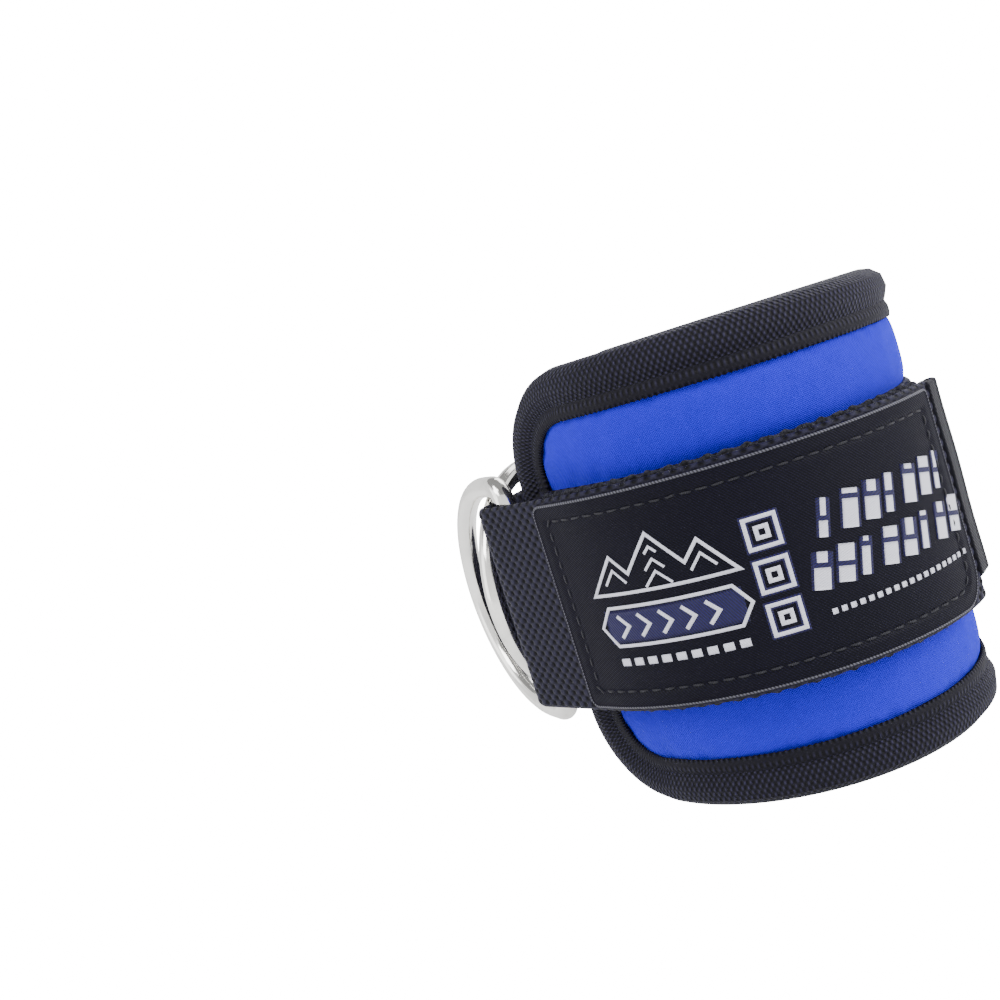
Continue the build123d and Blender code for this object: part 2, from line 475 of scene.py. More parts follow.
@dataclass(frozen=True)
class Strip:
    """A flat strip along a track: a rounded section carried from start to end."""

    track: Track
    start: float
    end: float
    half: float
    low: float
    high: float
    step: float = 0.5
    columns: int = 99
    back_columns: int = 13
    relief: Relief | None = None
    back_relief: Relief | None = None
    spread: Callable[[Array], Array] | None = None
    cut: float = 0.6

    def section(self) -> tuple[Array, Array, Array]:
        """The closed section, in units of the strip's half width and half thickness.

        Returns:
            z from -1 to 1, offset from -1 to 1, and 1 on the front, -1 on the back, 0 between.
        """
        bulge = np.radians(np.array([60.0, 30.0, 0.0, -30.0, -60.0]))
        rim = (self.high - self.low) / 2 / self.half
        flat = 1 - rim
        front = np.linspace(-flat, flat, self.columns)
        back = np.linspace(flat, -flat, self.back_columns)
        z = np.concatenate([front, flat + rim * np.cos(bulge), back, -flat - rim * np.cos(bulge)])
        o = np.concatenate([np.ones(self.columns), np.sin(bulge), -np.ones(self.back_columns),
                            -np.sin(bulge)])
        side = np.concatenate([np.ones(self.columns), np.zeros(5), -np.ones(self.back_columns),
                               np.zeros(5)])
        return z, o, side

    def add_to(self, shell: ShellMesh) -> None:
        """Adds the strip to a shell.

        Args:
            shell: Where its points go: mid + half thickness * o * cut(s) + relief(s, z).
        """
        z_unit, o_unit, side = self.section()
        s = with_ends(spaced(self.start, self.end, self.step), self.cut)
        half = self.half + (self.spread(s) if self.spread else np.zeros_like(s))
        to_end = np.minimum(s - s[0], s[-1] - s) / self.cut
        thin = 0.3 + 0.7 * np.sqrt(np.clip(1 - (1 - np.clip(to_end, 0, 1)) ** 2, 0, 1))
        z = z_unit[None] * half[:, None]
        along_s = np.broadcast_to(s[:, None], z.shape)
        mid, thick = (self.low + self.high) / 2, (self.high - self.low) / 2
        offset = mid + thick * o_unit[None] * thin[:, None]
        fade = smooth(to_end)[:, None] * smooth((half[:, None] - np.abs(z)) / 1.2)
        if self.relief:
            offset = offset + np.where(side > 0, 1, 0) * self.relief(along_s, z) * fade
        if self.back_relief:
            offset = offset - np.where(side < 0, 1, 0) * self.back_relief(along_s, z) * fade
        uv = np.stack([along_s, z], -1)
        uv = np.concatenate([uv, uv[:, :1]], 1)
        shell.add(self.track.lay(along_s, z, offset), uv)


@dataclass(frozen=True)
class OutlineSheet:
    """A sheet over a rounded outline, between an upper and a lower surface."""

    track: Track
    outline: RoundedOutline
    inset: float
    top: Relief
    bottom: Relief
    step: float = 1.5
    columns: int = 65

    def samples(self) -> Array:
        """Where its rows lie.

        Returns:
            Distances along the track, closer together towards the rounded ends.
        """
        start, end = self.outline.left + self.inset, self.outline.right - self.inset
        reach = max(self.outline.radii)
        close = reach * (1 - np.cos(np.linspace(0, math.pi / 2, 14)))
        inner = spaced(start + reach, end - reach, self.step)
        return np.unique(np.concatenate([start + close, inner, end - close]))

    def grid(self) -> tuple[Array, Array]:
        """Its grid.

        Returns:
            s and z, each (rows, columns): z = low(s) + v * (high(s) - low(s)).
        """
        s = self.samples()
        low, high = self.outline.edges(s, self.inset)
        v = (1 - np.cos(np.linspace(0, math.pi, self.columns))) * 0.15
        v = v + 0.7 * np.linspace(0, 1, self.columns)
        z = low[:, None] + (high - low)[:, None] * v[None]
        return np.broadcast_to(s[:, None], z.shape), z

    def add_to(self, shell: ShellMesh) -> None:
        """Adds the upper surface and, back along each row, the lower one.

        Args:
            shell: Where they go.
        """
        s, z = self.grid()
        s_loop = np.concatenate([s, s[:, ::-1]], 1)
        z_loop = np.concatenate([z, z[:, ::-1]], 1)
        offset = np.concatenate([self.top(s, z), self.bottom(s, z)[:, ::-1]], 1)
        uv = np.stack([s_loop, z_loop], -1)
        uv = np.concatenate([uv, uv[:, :1]], 1)
        shell.add(self.track.lay(s_loop, z_loop, offset), uv)


@dataclass(frozen=True)
class StitchRow:
    """Separate stitches on cloth, along a path in s and z.

    Each is a capsule whose ends dive into the cloth.
    """

    track: Track
    path: Track
    inset: float
    offset: Relief
    pitch: float = STITCH
    length: float = 2.5
    width: float = 0.62
    proud: float = 0.28
    side: float = 1.0
    start: float = 0.0
    end: float | None = None
    seed: int = 1
    lean: float = 0.05
    unevenness: float = 0.06

    def add_to(self, shell: ShellMesh, keep: Relief | None = None) -> None:
        """Adds the stitches.

        Args:
            shell: Where they go.
            keep: Where its value at a stitch's middle is below zero, there is no stitch.
        """
        draw = np.random.default_rng(self.seed)
        last = self.path.length if self.end is None else self.end
        middles = np.arange(self.start + self.pitch / 2, last, self.pitch)
        points, normals = self.path.at(middles)
        points = points - self.inset * normals
        if keep is not None:
            shown = keep(points[:, 0], points[:, 1]) >= 0
            points, normals = points[shown], normals[shown]
        count = len(points)
        tilt = draw.normal(0.0, self.lean, count)
        tangents = np.stack([normals[:, 1], -normals[:, 0]], -1)
        heading = tangents + tilt[:, None] * normals
        across = np.stack([-heading[:, 1], heading[:, 0]], -1)
        size = 1 + draw.normal(0.0, self.unevenness, count)
        a = np.array([-1.0, -0.86, -0.5, 0.0, 0.5, 0.86, 1.0])
        b = np.linspace(0, TURN, 6, endpoint=False) + TURN / 12
        girth = np.sqrt(np.clip(1 - np.abs(a) ** 3, 0.03, 1))
        x = np.broadcast_to((a * self.length / 2)[:, None], (7, 6))
        y = girth[:, None] * np.cos(b)[None] * self.width / 2
        up = girth[:, None] * np.sin(b)[None] * self.proud - (np.abs(a) ** 2.5)[:, None] * self.proud
        shape = (count, 7, 6)
        step = size[:, None, None, None] * x[None, ..., None] * heading[:, None, None, :]
        flat = points[:, None, None, :] + step + y[None, ..., None] * across[:, None, None, :]
        s, z = flat[..., 0], flat[..., 1]
        offset = self.offset(s, z) + self.side * np.broadcast_to(up + self.proud * 0.45, shape)
        turned = np.concatenate([b, [TURN + b[0]]])
        uv = np.stack(np.meshgrid(a * self.length / 2, turned * self.width / 2, indexing="ij"), -1)
        shell.add_copies(self.track.lay(s, z, offset), uv)


@dataclass(frozen=True)
class LooseFibres:
    """Fine curved fibres standing out of both edges of a strap."""

    track: Track
    start: float
    end: float
    edge: float
    low: float
    high: float
    count: int = 520
    radius: float = 0.055
    root: float = 0.35
    seed: int = 71

    def add_to(self, shell: ShellMesh) -> None:
        """Each fibre leaves the edge by its length * t and bends by a random amount * t^2.

        Args:
            shell: Where they go.
        """
        draw = np.random.default_rng(self.seed)
        t = np.linspace(0, 1, 6)[None, :, None]
        turn = np.linspace(0, TURN, 5)[None, None, :-1]
        one = (self.count, 1, 1)
        length = draw.uniform(0.4, 1.9, one) * draw.uniform(0.5, 1.0, one)
        girth = self.radius * (1 - 0.65 * t)
        side = draw.choice([-1.0, 1.0], one)
        s = draw.uniform(self.start, self.end, one)
        s = s + draw.normal(0, 0.6, one) * t + draw.normal(0, 1.0, one) * t**2
        out = self.edge - self.root + length * (t - 0.45 * t**2)
        offset = draw.uniform(self.low, self.high, one)
        offset = offset + draw.normal(0, 0.35, one) * t + draw.normal(0, 0.5, one) * t**2
        shape = (self.count, 6, 4)
        s = np.broadcast_to(s + girth * np.cos(turn), shape)
        z = np.broadcast_to(side * out, shape)
        offset = np.broadcast_to(offset + side * girth * np.sin(turn), shape)
        uv = np.stack(np.meshgrid(np.linspace(0, 1.5, 6), np.linspace(0, 0.35, 5), indexing="ij"), -1)
        shell.add_copies(self.track.lay(s, z, offset), uv)


def flat_at(value: float) -> Relief:
    """A surface at one offset everywhere."""
    return lambda s, z: np.full(np.shape(s), value)


def catmull(points: Array, per_span: int) -> Array:
    """A smooth curve through points.

    Args:
        points: (n, 2) points it passes through.
        per_span: Samples between neighbours.

    Returns:
        Samples of the cubic whose tangent at each point is half the step between its
        neighbours.
    """
    count = len(points)
    index = np.arange(count - 1)
    p0, p1, p2, p3 = (points[np.clip(index + k, 0, count - 1)][:, None] for k in (-1, 0, 1, 2))
    t = np.linspace(0, 1, per_span, endpoint=False)[None, :, None]
    curve = 0.5 * (2 * p1 + (p2 - p0) * t + (2 * p0 - 5 * p1 + 4 * p2 - p3) * t**2
                   + (3 * p1 - p0 - 3 * p2 + p3) * t**3)
    return np.concatenate([curve.reshape(-1, 2), points[-1:]])


# --- finishes ------------------------------------------------------------------------------
class Wave:
    """A value socket on which arithmetic adds Math nodes."""

    def __init__(self, graph: "Graph", socket: bpy.types.NodeSocket) -> None:
        """Wraps a socket of a graph."""
        self.graph = graph
        self.socket = socket

    def _math(self, operation: str, *others: "Wave | float", first: "Wave | float | None" = None) -> "Wave":
        """One Math node of an operation on this value, or on first and the others."""
        head = self if first is None else first
        return self.graph.math(operation, head, *others)

    def __add__(self, other: "Wave | float") -> "Wave":
        """Sum."""
        return self._math("ADD", other)

    __radd__ = __add__

    def __sub__(self, other: "Wave | float") -> "Wave":
        """Difference."""
        return self._math("SUBTRACT", other)

    def __rsub__(self, other: "Wave | float") -> "Wave":
        """Difference from a number."""
        return self._math("SUBTRACT", self, first=other)

    def __mul__(self, other: "Wave | float") -> "Wave":
        """Product."""
        return self._math("MULTIPLY", other)

    __rmul__ = __mul__

    def __pow__(self, other: "Wave | float") -> "Wave":
        """Power."""
        return self._math("POWER", other)

    def cos(self) -> "Wave":
        """Cosine."""
        return self._math("COSINE")

    def at_most(self, other: "Wave | float") -> "Wave":
        """The smaller of two."""
        return self._math("MINIMUM", other)

    def rise(self, low: float, high: float) -> "Wave":
        """Smoothly from 0 at low to 1 at high."""
        return self.graph.node("ShaderNodeMapRange", {"interpolation_type": "SMOOTHSTEP"},
                               {"Value": self, "From Min": low, "From Max": high})


class Graph:
    """A material's nodes."""

    def __init__(self, name: str) -> None:
        """Starts an empty material with an output.

        Args:
            name: The material's name.
        """
        self.material = bpy.data.materials.new(name)
        self.material.use_nodes = True
        self.tree = self.material.node_tree
        self.tree.nodes.clear()
        self.out = self.tree.nodes.new("ShaderNodeOutputMaterial")

    def put(self, socket: bpy.types.NodeSocket, value: object) -> None:
        """Links or sets an input.

        Args:
            socket: The input.
            value: An output to link, a colour, or a value.
        """
        if isinstance(value, Wave):
            self.tree.links.new(value.socket, socket)
        elif isinstance(value, bpy.types.NodeSocket):
            self.tree.links.new(value, socket)
        elif isinstance(value, tuple) and socket.type == "RGBA":
            socket.default_value = (*value, 1.0)
        else:
            socket.default_value = value

    def node(self, kind: str, settings: dict | None = None, sockets: dict | None = None,
             output: int | str = 0) -> Wave:
        """Adds any node.

        Args:
            kind: The node's type.
            settings: Its own settings, set first.
            sockets: Values or links of its inputs, by name or number.
            output: Which output to use.

        Returns:
            That output.
        """
        made = self.tree.nodes.new(kind)
        for name, value in (settings or {}).items():
            setattr(made, name, value)
        for name, value in (sockets or {}).items():
            self.put(made.inputs[name], value)
        return Wave(self, made.outputs[output])

    def math(self, operation: str, *values: Wave | float) -> Wave:
        """Adds a Math node."""
        return self.node("ShaderNodeMath", {"operation": operation}, dict(enumerate(values)))

    def cloth(self) -> tuple[Wave, Wave]:
        """The piece's own cloth coordinates.

        Returns:
            u along the cloth and v across it, in millimetres.
        """
        uv = self.node("ShaderNodeUVMap", {"uv_map": "cloth"})
        apart = self.node("ShaderNodeSeparateXYZ", {}, {0: uv})
        return apart, Wave(self, apart.socket.node.outputs[1])

    def in_millimetres(self) -> Wave:
        """The piece's object coordinates, in millimetres."""
        place = self.node("ShaderNodeTexCoord", output="Object")
        return self.node("ShaderNodeMapping", {}, {"Vector": place, "Scale": Vector((1, 1, 1)) / MM})

    def noise(self, scale: float, detail: float = 3.0, roughness: float = 0.5) -> Wave:
        """Noise over the object.

        Args:
            scale: Cycles for each millimetre.
            detail: Octaves.
            roughness: How strong the finer ones are.

        Returns:
            Its value, about 0.5.
        """
        return self.node("ShaderNodeTexNoise", {}, {"Vector": self.in_millimetres(), "Scale": scale,
                                                    "Detail": detail, "Roughness": roughness})

    def cells(self, across: float) -> Wave:
        """Distance from the middle of round cells, as a share of their size.

        Args:
            across: A cell's size, in millimetres.

        Returns:
            Zero at a cell's middle, at most one.
        """
        return self.node("ShaderNodeTexVoronoi", {"feature": "F1"},
                         {"Vector": self.in_millimetres(), "Scale": 1 / across}).at_most(1.0)

    def mix(self, factor: Wave, low: Colour | Wave, high: Colour | Wave) -> Wave:
        """A colour between two; a Mix node's colour sockets are its inputs 6 and 7 and output 2."""
        return self.node("ShaderNodeMix", {"data_type": "RGBA"}, {0: factor, 6: low, 7: high}, 2)

    def bump(self, height: Wave, distance: float, strength: float = 1.0) -> Wave:
        """A normal from a height of 0 to 1 that stands for so many millimetres."""
        return self.node("ShaderNodeBump", {}, {"Height": height, "Distance": distance * MM,
                                                "Strength": strength})

    def shade(self, **sockets: object) -> bpy.types.Material:
        """Ends in one Principled shader.

        Args:
            sockets: Its inputs, with underscores for spaces.

        Returns:
            The material.
        """
        shader = self.tree.nodes.new("ShaderNodeBsdfPrincipled")
        for name, value in sockets.items():
            self.put(shader.inputs[name.replace("_", " ")], value)
        self.tree.links.new(shader.outputs[0], self.out.inputs["Surface"])
        return self.material


@dataclass(frozen=True)
class Finish:
    """What a piece is made of."""

    name: str

    def material(self) -> bpy.types.Material:
        """The material, made once and then shared."""
        known = bpy.data.materials.get(self.name)
        return known or self.paint(Graph(self.name))

    def paint(self, graph: Graph) -> bpy.types.Material:
        """Builds the material's nodes.

        Args:
            graph: The empty material.

        Returns:
            The material.
        """
        raise NotImplementedError


@dataclass(frozen=True)
class KnitJersey(Finish):
    """Fine knit: wales and courses as small dots, with a soft sheen; its colour is painted shade in the dots'
    hollows and painted highlight on their crests.
    """

    # deep is the painted shade colour of the knit's hollows, lit the painted highlight colour of its crests.
    deep: Colour = (0.006, 0.002, 0.42)
    lit: Colour = (0.030, 0.012, 1.0)
    wale: float = 0.55
    course: float = 0.48
    sheen: float = 0.22
    sheen_tint: Colour = (0.30, 0.44, 1.0)

    def paint(self, graph: Graph) -> bpy.types.Material:
        """Dots are cos(u) * cos(v) on the cloth's own coordinates.

        Args:
            graph: The empty material.

        Returns:
            The material.
        """
        u, v = graph.cloth()
        dots = (u * (TURN / self.wale)).cos() * (v * (TURN / self.course)).cos() * 0.5 + 0.5
        mottle = graph.noise(0.35, 4.0)
        grain = graph.noise(3.2, 2.0)
        # Painted shade and highlight: darker in the knit's hollows, lighter on its crests; mottle and grain
        # vary it at random.
        tone = dots * 0.80 + mottle * 0.30 + grain * 0.15
        return graph.shade(
            Base_Color=graph.mix(tone, self.deep, self.lit),
            Roughness=0.66 + grain * 0.22,
            Normal=graph.bump(dots + grain * 0.4, 0.18, 0.95),
            Sheen_Weight=self.sheen,
            Sheen_Roughness=0.45,
            Sheen_Tint=self.sheen_tint,
            Specular_IOR_Level=0.08,
        )


@dataclass(frozen=True)
class RibTape(Finish):
    """Binding tape: a fine diagonal weave over the rim and short ribs on the outer flap, coloured with
    painted shade in the weave's hollows and painted highlight on its crests.
    """

    # dark is the painted shade colour of the weave's hollows, lit the painted highlight colour of its crests.
    dark: Colour = (0.0006, 0.0006, 0.0014)
    lit: Colour = (0.046, 0.042, 0.092)
    pitch: float = 1.25
    course: float = 1.9
    flap: float = 2.9

    def paint(self, graph: Graph) -> bpy.types.Material:
        """u runs along the tape, v across it from the outer flap's edge.

        Args:
            graph: The empty material.

        Returns:
            The material.
        """
        u, v = graph.cloth()
        staggered = (u * (TURN / self.pitch)).cos() * (v * (TURN / self.course)).cos() * 0.5 + 0.5
        ribs = (u * (TURN / self.pitch)).cos() * 0.18 + staggered * 0.42 + 0.22
        on_flap = 1 - v.rise(self.flap - 0.3, self.flap + 0.5)
        weave = staggered * (1 - on_flap) + ribs * on_flap
        grain = graph.noise(2.4, 3.0)
        wear = graph.noise(0.06, 2.0)
        # Painted shade and highlight: darker in the weave's hollows, lighter on its crests; grain and wear
        # vary it at random.
        tone = (weave ** 2.6) * (0.35 + grain * 0.8) * (0.7 + wear * 0.6)
        return graph.shade(
            Base_Color=graph.mix(tone, self.dark, self.lit),
            Roughness=0.5 + grain * 0.3,
            Normal=graph.bump(weave + grain * 0.3, 0.36, 0.95),
            Sheen_Weight=0.05,
            Sheen_Roughness=0.4,
            Sheen_Tint=(0.7, 0.72, 1.0),
            Specular_IOR_Level=0.16,
        )


@dataclass(frozen=True)
class WovenWebbing(Finish):
    """Heavy webbing: staggered plump bumps, each of several yarns, coloured with painted shade between bumps
    and yarns and painted highlight on their crests.
    """

    # dark is the painted shade colour between the bumps, lit the painted highlight colour of their crests.
    dark: Colour = (0.0004, 0.0004, 0.0010)
    lit: Colour = (0.022, 0.021, 0.046)
    pitch: float = 2.8
    course: float = 2.7

    def paint(self, graph: Graph) -> bpy.types.Material:
        """The bumps follow the mesh's relief: 0.5 + 0.5 * cos(u) * cos(v).

        Args:
            graph: The empty material.

        Returns:
            The material.
        """
        u, v = graph.cloth()
        lobes = (u * (TURN / self.pitch)).cos() * (v * (TURN / self.course)).cos() * 0.5 + 0.5
        plump = 1 - (1 - lobes) * (1 - lobes)
        yarn = (v * (TURN / 0.31)).cos() * 0.5 + 0.5
        grain = graph.noise(1.6, 4.0)
        dust = graph.noise(0.05, 3.0)
        # Painted shade and highlight: darker between bumps and between yarns, lighter on the bumps; grain and
        # dust vary it at random.
        tone = (plump ** 2.6) * (0.4 + yarn * 0.3 + grain * 0.7) * (0.75 + dust * 0.5)
        return graph.shade(
            Base_Color=graph.mix(tone, self.dark, self.lit),
            Roughness=0.5 + grain * 0.25,
            Normal=graph.bump(plump * 0.8 + yarn * 0.12 + grain * 0.2, 0.38, 0.9),
            Sheen_Weight=0.04,
            Sheen_Roughness=0.4,
            Sheen_Tint=(0.7, 0.72, 1.0),
            Specular_IOR_Level=0.16,
        )


@dataclass(frozen=True)
class Twill(Finish):
    """A fine diagonal weave, for the label's satin and the lining, coloured with painted shade between its
    diagonals and painted highlight on them.
    """

    # dark is the painted shade colour between the diagonals, lit the painted highlight colour on them.
    dark: Colour = (0.0006, 0.0006, 0.0018)
    lit: Colour = (0.0088, 0.0080, 0.0250)
    pitch: float = 0.5
    roughness: float = 0.42
    relief: float = 0.07
    sheen: float = 0.02

    def paint(self, graph: Graph) -> bpy.types.Material:
        """Diagonals of u + v, broken along their length by u - v.

        Args:
            graph: The empty material.

        Returns:
            The material.
        """
        u, v = graph.cloth()
        lines = ((u + v) * (TURN / self.pitch / 1.414)).cos() * 0.5 + 0.5
        breaks = ((u - v * 1.7) * (TURN / self.pitch / 2.6)).cos() * 0.5 + 0.5
        weave = lines * (0.55 + breaks * 0.45)
        grain = graph.noise(2.6, 3.0)
        cloud = graph.noise(0.07, 3.0)
        # Painted shade and highlight: darker between the weave's diagonals, lighter on them; grain and cloud
        # vary it at random.
        tone = weave * (0.4 + grain * 0.7) * (0.7 + cloud * 0.6)
        return graph.shade(
            Base_Color=graph.mix(tone, self.dark, self.lit),
            Roughness=self.roughness + grain * 0.22,
            Normal=graph.bump(weave + grain * 0.3, self.relief, 0.9),
            Sheen_Weight=self.sheen,
            Sheen_Roughness=0.4,
            Sheen_Tint=(0.75, 0.78, 1.0),
            Specular_IOR_Level=0.10,
        )


@dataclass(frozen=True)
class Thread(Finish):
    """Twisted thread, coloured with painted shade between its plies and painted highlight on them."""

    # dark is the painted shade colour between the plies, lit the painted highlight colour on them.
    dark: Colour = (0.002, 0.002, 0.004)
    lit: Colour = (0.024, 0.024, 0.038)
    twist: float = 0.45

    def paint(self, graph: Graph) -> bpy.types.Material:
        """The ply turns round the thread: cos(u + v).

        Args:
            graph: The empty material.

        Returns:
            The material.
        """
        u, v = graph.cloth()
        ply = ((u + v * 0.6) * (TURN / self.twist)).cos() * 0.5 + 0.5
        grain = graph.noise(4.0, 2.0)
        return graph.shade(
            # Painted shade and highlight: darker between the plies, lighter on them, with random grain.
            Base_Color=graph.mix(ply * (0.5 + grain * 0.6), self.dark, self.lit),
            Roughness=0.38 + grain * 0.25,
            Normal=graph.bump(ply, 0.08, 0.8),
            Sheen_Weight=0.03,
            Specular_IOR_Level=0.3,
        )


@dataclass(frozen=True)
class Pile(Finish):
    """Loops or hooks: a fine tangle of fibres, coloured with painted shade between the loops and painted
    highlight on them.
    """

    # dark is the painted shade colour between the loops, lit the painted highlight colour on them.
    dark: Colour = (0.0012, 0.0012, 0.002)
    lit: Colour = (0.022, 0.022, 0.030)
    cell: float = 0.9
    relief: float = 0.45

    def paint(self, graph: Graph) -> bpy.types.Material:
        """Small cells, each a loop, under a finer tangle.

        Args:
            graph: The empty material.

        Returns:
            The material.
        """
        loops = 1 - graph.cells(self.cell)
        tangle = graph.noise(2.2, 4.0, 0.7)
        return graph.shade(
            # Painted shade and highlight: darker between the loops, lighter on them, varied by the tangle.
            Base_Color=graph.mix(loops * (0.3 + tangle), self.dark, self.lit),
            Roughness=0.75 + tangle * 0.2,
            Normal=graph.bump(loops + tangle * 0.6, self.relief, 0.9),
            Sheen_Weight=0.10,
            Sheen_Roughness=0.35,
            Sheen_Tint=(0.8, 0.82, 1.0),
            Specular_IOR_Level=0.12,
        )


@dataclass(frozen=True)
class OpenFoam(Finish):
    """Cut foam rubber, black, with small cells."""

    cell: float = 0.5

    def paint(self, graph: Graph) -> bpy.types.Material:
        """Cells as pits, with painted shade in them.

        Args:
            graph: The empty material.

        Returns:
            The material.
        """
        cells = graph.cells(self.cell)
        return graph.shade(
            # Painted shade: darker at each cell's middle, where its pit is.
            Base_Color=graph.mix(cells, (0.008, 0.008, 0.009), (0.04, 0.04, 0.045)),
            Roughness=0.85 + graph.noise(0.5) * 0.1,
            Normal=graph.bump(cells, 0.2),
        )


@dataclass(frozen=True)
class PolishedWire(Finish):
    """Bright plated steel wire, with faint drawing lines, smudges and rubbed spots."""

    bright: Colour = (0.90, 0.89, 0.86)
    dull: Colour = (0.62, 0.61, 0.59)

    def paint(self, graph: Graph) -> bpy.types.Material:
        """Smudges change the roughness; lines run along the wire.

        Args:
            graph: The empty material.

        Returns:
            The material.
        """
        _, v = graph.cloth()
        smudge = graph.noise(0.12, 4.0, 0.6)
        lines = (v * (TURN / 0.37) + graph.noise(0.05) * 6.0).cos() * 0.5 + 0.5
        pits = graph.noise(1.4, 3.0, 0.7)
        rubbed = smudge.rise(0.45, 0.8)
        return graph.shade(
            Base_Color=graph.mix(rubbed, self.bright, self.dull),
            Metallic=1.0,
            Roughness=0.10 + rubbed * 0.14 + lines * 0.03,
            Normal=graph.bump(lines * 0.25 + pits * 0.6, 0.02, 0.7),
        )


BLUE_JERSEY = KnitJersey("blue_jersey_knit")
BLACK_LINING = Twill("black_lining_twill", lit=(0.009, 0.009, 0.013), pitch=0.9, roughness=0.62,
                     relief=0.12, sheen=0.04)
BINDING_TAPE = RibTape("binding_tape_weave")
WEBBING = WovenWebbing("webbing_weave")
LABEL_SATIN = Twill("label_satin_twill")
BLACK_THREAD = Thread("black_thread")
WHITE_THREAD = Thread("white_thread", dark=(0.70, 0.70, 0.84), lit=(0.93, 0.93, 1.0), twist=0.5)
NAVY_THREAD = Thread("navy_thread", dark=(0.002, 0.001, 0.020), lit=(0.009, 0.006, 0.105), twist=0.6)
# Painted highlight: a light colour for the line round the label's folded edge, standing in for light on the
# fold.
FOLD_HIGHLIGHT_THREAD = Thread("fold_highlight_thread", dark=(0.010, 0.010, 0.016), lit=(0.16, 0.16, 0.20), twist=0.7)
FIBRES = Thread("loose_fibres", dark=(0.020, 0.020, 0.028), lit=(0.16, 0.16, 0.20), twist=0.9)
LOOP_PILE = Pile("loop_pile_tangle")
HOOK_TAPE = Pile("hook_tape_tangle", lit=(0.045, 0.045, 0.060), cell=0.7)
FOLDED_TAPE = Twill("folded_tape_twill", lit=(0.030, 0.030, 0.046), pitch=0.7, roughness=0.4, relief=0.1)
PAD_FOAM = OpenFoam("pad_foam_cells")
RING_STEEL = PolishedWire("ring_steel_polish")


# --- the pad -------------------------------------------------------------------------------
def pad_track(sizes: CuffSizes) -> Track:
    """The pad's outer face.

    Args:
        sizes: The cuff's sizes.

    Returns:
        A straight wing, the round back and the other wing, with s = 0 at the back.
    """
    reach = sizes.wing + sizes.binding_cap
    end = np.array([0.0, 0.0]) + sizes.pad_radius * radial(sizes.wrap)
    ahead, out = along(sizes.wrap), radial(sizes.wrap)
    tip = (-(end[0] + reach * ahead[0]), end[1] + reach * ahead[1])
    return Track((
        Run(tip, (ahead[0], -ahead[1]), reach, (-out[0], out[1])),
        Bend((0.0, 0.0), sizes.pad_radius, -sizes.wrap, sizes.wrap),
        Run(tuple(end), tuple(ahead), reach, tuple(out)),
    ), -(sizes.round_half + reach))


@dataclass
class JerseyTension:
    """How the jersey fills out between its seams, by cloth simulation.

    A closed shell the size of the pad is sewn down under the strap and the binding and blown
    up. The solver works on it enlarged, because its masses suit cushions, not cuffs.
    """

    pad: "Pad"
    enlarged: float = 20.0
    pressure: float = 4.0
    frames: int = 20
    slack: float = 0.03
    bending: float = 0.2
    step: float = 2.4
    columns: int = 57
    least: float = -0.2
    most: float = 2.5
    s: Array = field(init=False)
    v: Array = field(init=False)
    rise: Array = field(init=False)

    def run(self) -> None:
        """Simulates, and keeps how far each point of the face moved outwards, capped."""
        pad = self.pad
        sizes = pad.sizes
        sheet = OutlineSheet(pad.track, pad.outline, sizes.binding_cap, flat_at(0.0),
                             flat_at(-sizes.pad_thickness), self.step, self.columns)
        s, z = sheet.grid()
        shell = ShellMesh()
        sheet.add_to(shell)
        balloon = shell.make("jersey_balloon")
        balloon.data.transform(Matrix.Scale(self.enlarged, 4))
        under_binding = pad.outline.depth(s, z) < sizes.binding_width - pad.tucked
        sewn = under_binding | (np.abs(z) < sizes.strap_half)
        held = np.concatenate([sewn, np.ones_like(sewn)], 1)
        group = balloon.vertex_groups.new(name="sewn_down")
        group.add(np.flatnonzero(held.ravel()).tolist(), 1.0, "REPLACE")
        cloth = balloon.modifiers.new("cloth", "CLOTH")
        cloth.settings.vertex_group_mass = group.name
        cloth.settings.use_pressure = True
        cloth.settings.uniform_pressure_force = self.pressure
        cloth.settings.effector_weights.gravity = 0.0
        cloth.settings.shrink_min = -self.slack
        cloth.settings.bending_stiffness = self.bending
        cloth.point_cache.frame_end = self.frames
        for number in range(1, self.frames + 1):
            bpy.context.scene.frame_set(number)
        blown = balloon.evaluated_get(bpy.context.evaluated_depsgraph_get()).data
        place = np.empty(len(blown.vertices) * 3)
        blown.vertices.foreach_get("co", place)
        face = place.reshape(len(s), -1, 3)[:, :self.columns] / self.enlarged / MM
        points, normals = pad.track.at(s)
        self.s = s[:, 0]
        self.v = (z[0] - z[0, 0]) / (z[0, -1] - z[0, 0])
        self.rise = np.clip(((face[..., :2] - points) * normals).sum(-1), self.least, self.most)
        bpy.data.meshes.remove(balloon.data)
        bpy.context.scene.frame_set(1)
        LOG.info("jersey filled out by up to %.2f mm", self.rise.max())

    def at(self, s: Array, z: Array) -> Array:
        """The rise between the simulated points, linear in s and in v.

        Args:
            s: Distances along the pad.
            z: Heights.

        Returns:
            The rise at each point.
        """
        low, high = self.pad.outline.edges(s, self.pad.sizes.binding_cap)
        v = np.clip((z - low) / (high - low), 0, 1)
        row = np.clip(np.interp(s, self.s, np.arange(len(self.s))), 0, len(self.s) - 1.001)
        column = np.clip(np.interp(v, self.v, np.arange(len(self.v))), 0, len(self.v) - 1.001)
        i, j = row.astype(int), column.astype(int)
        a, b = row - i, column - j
        near = self.rise[i, j] * (1 - b) + self.rise[i, j + 1] * b
        far = self.rise[i + 1, j] * (1 - b) + self.rise[i + 1, j + 1] * b
        return near * (1 - a) + far * a


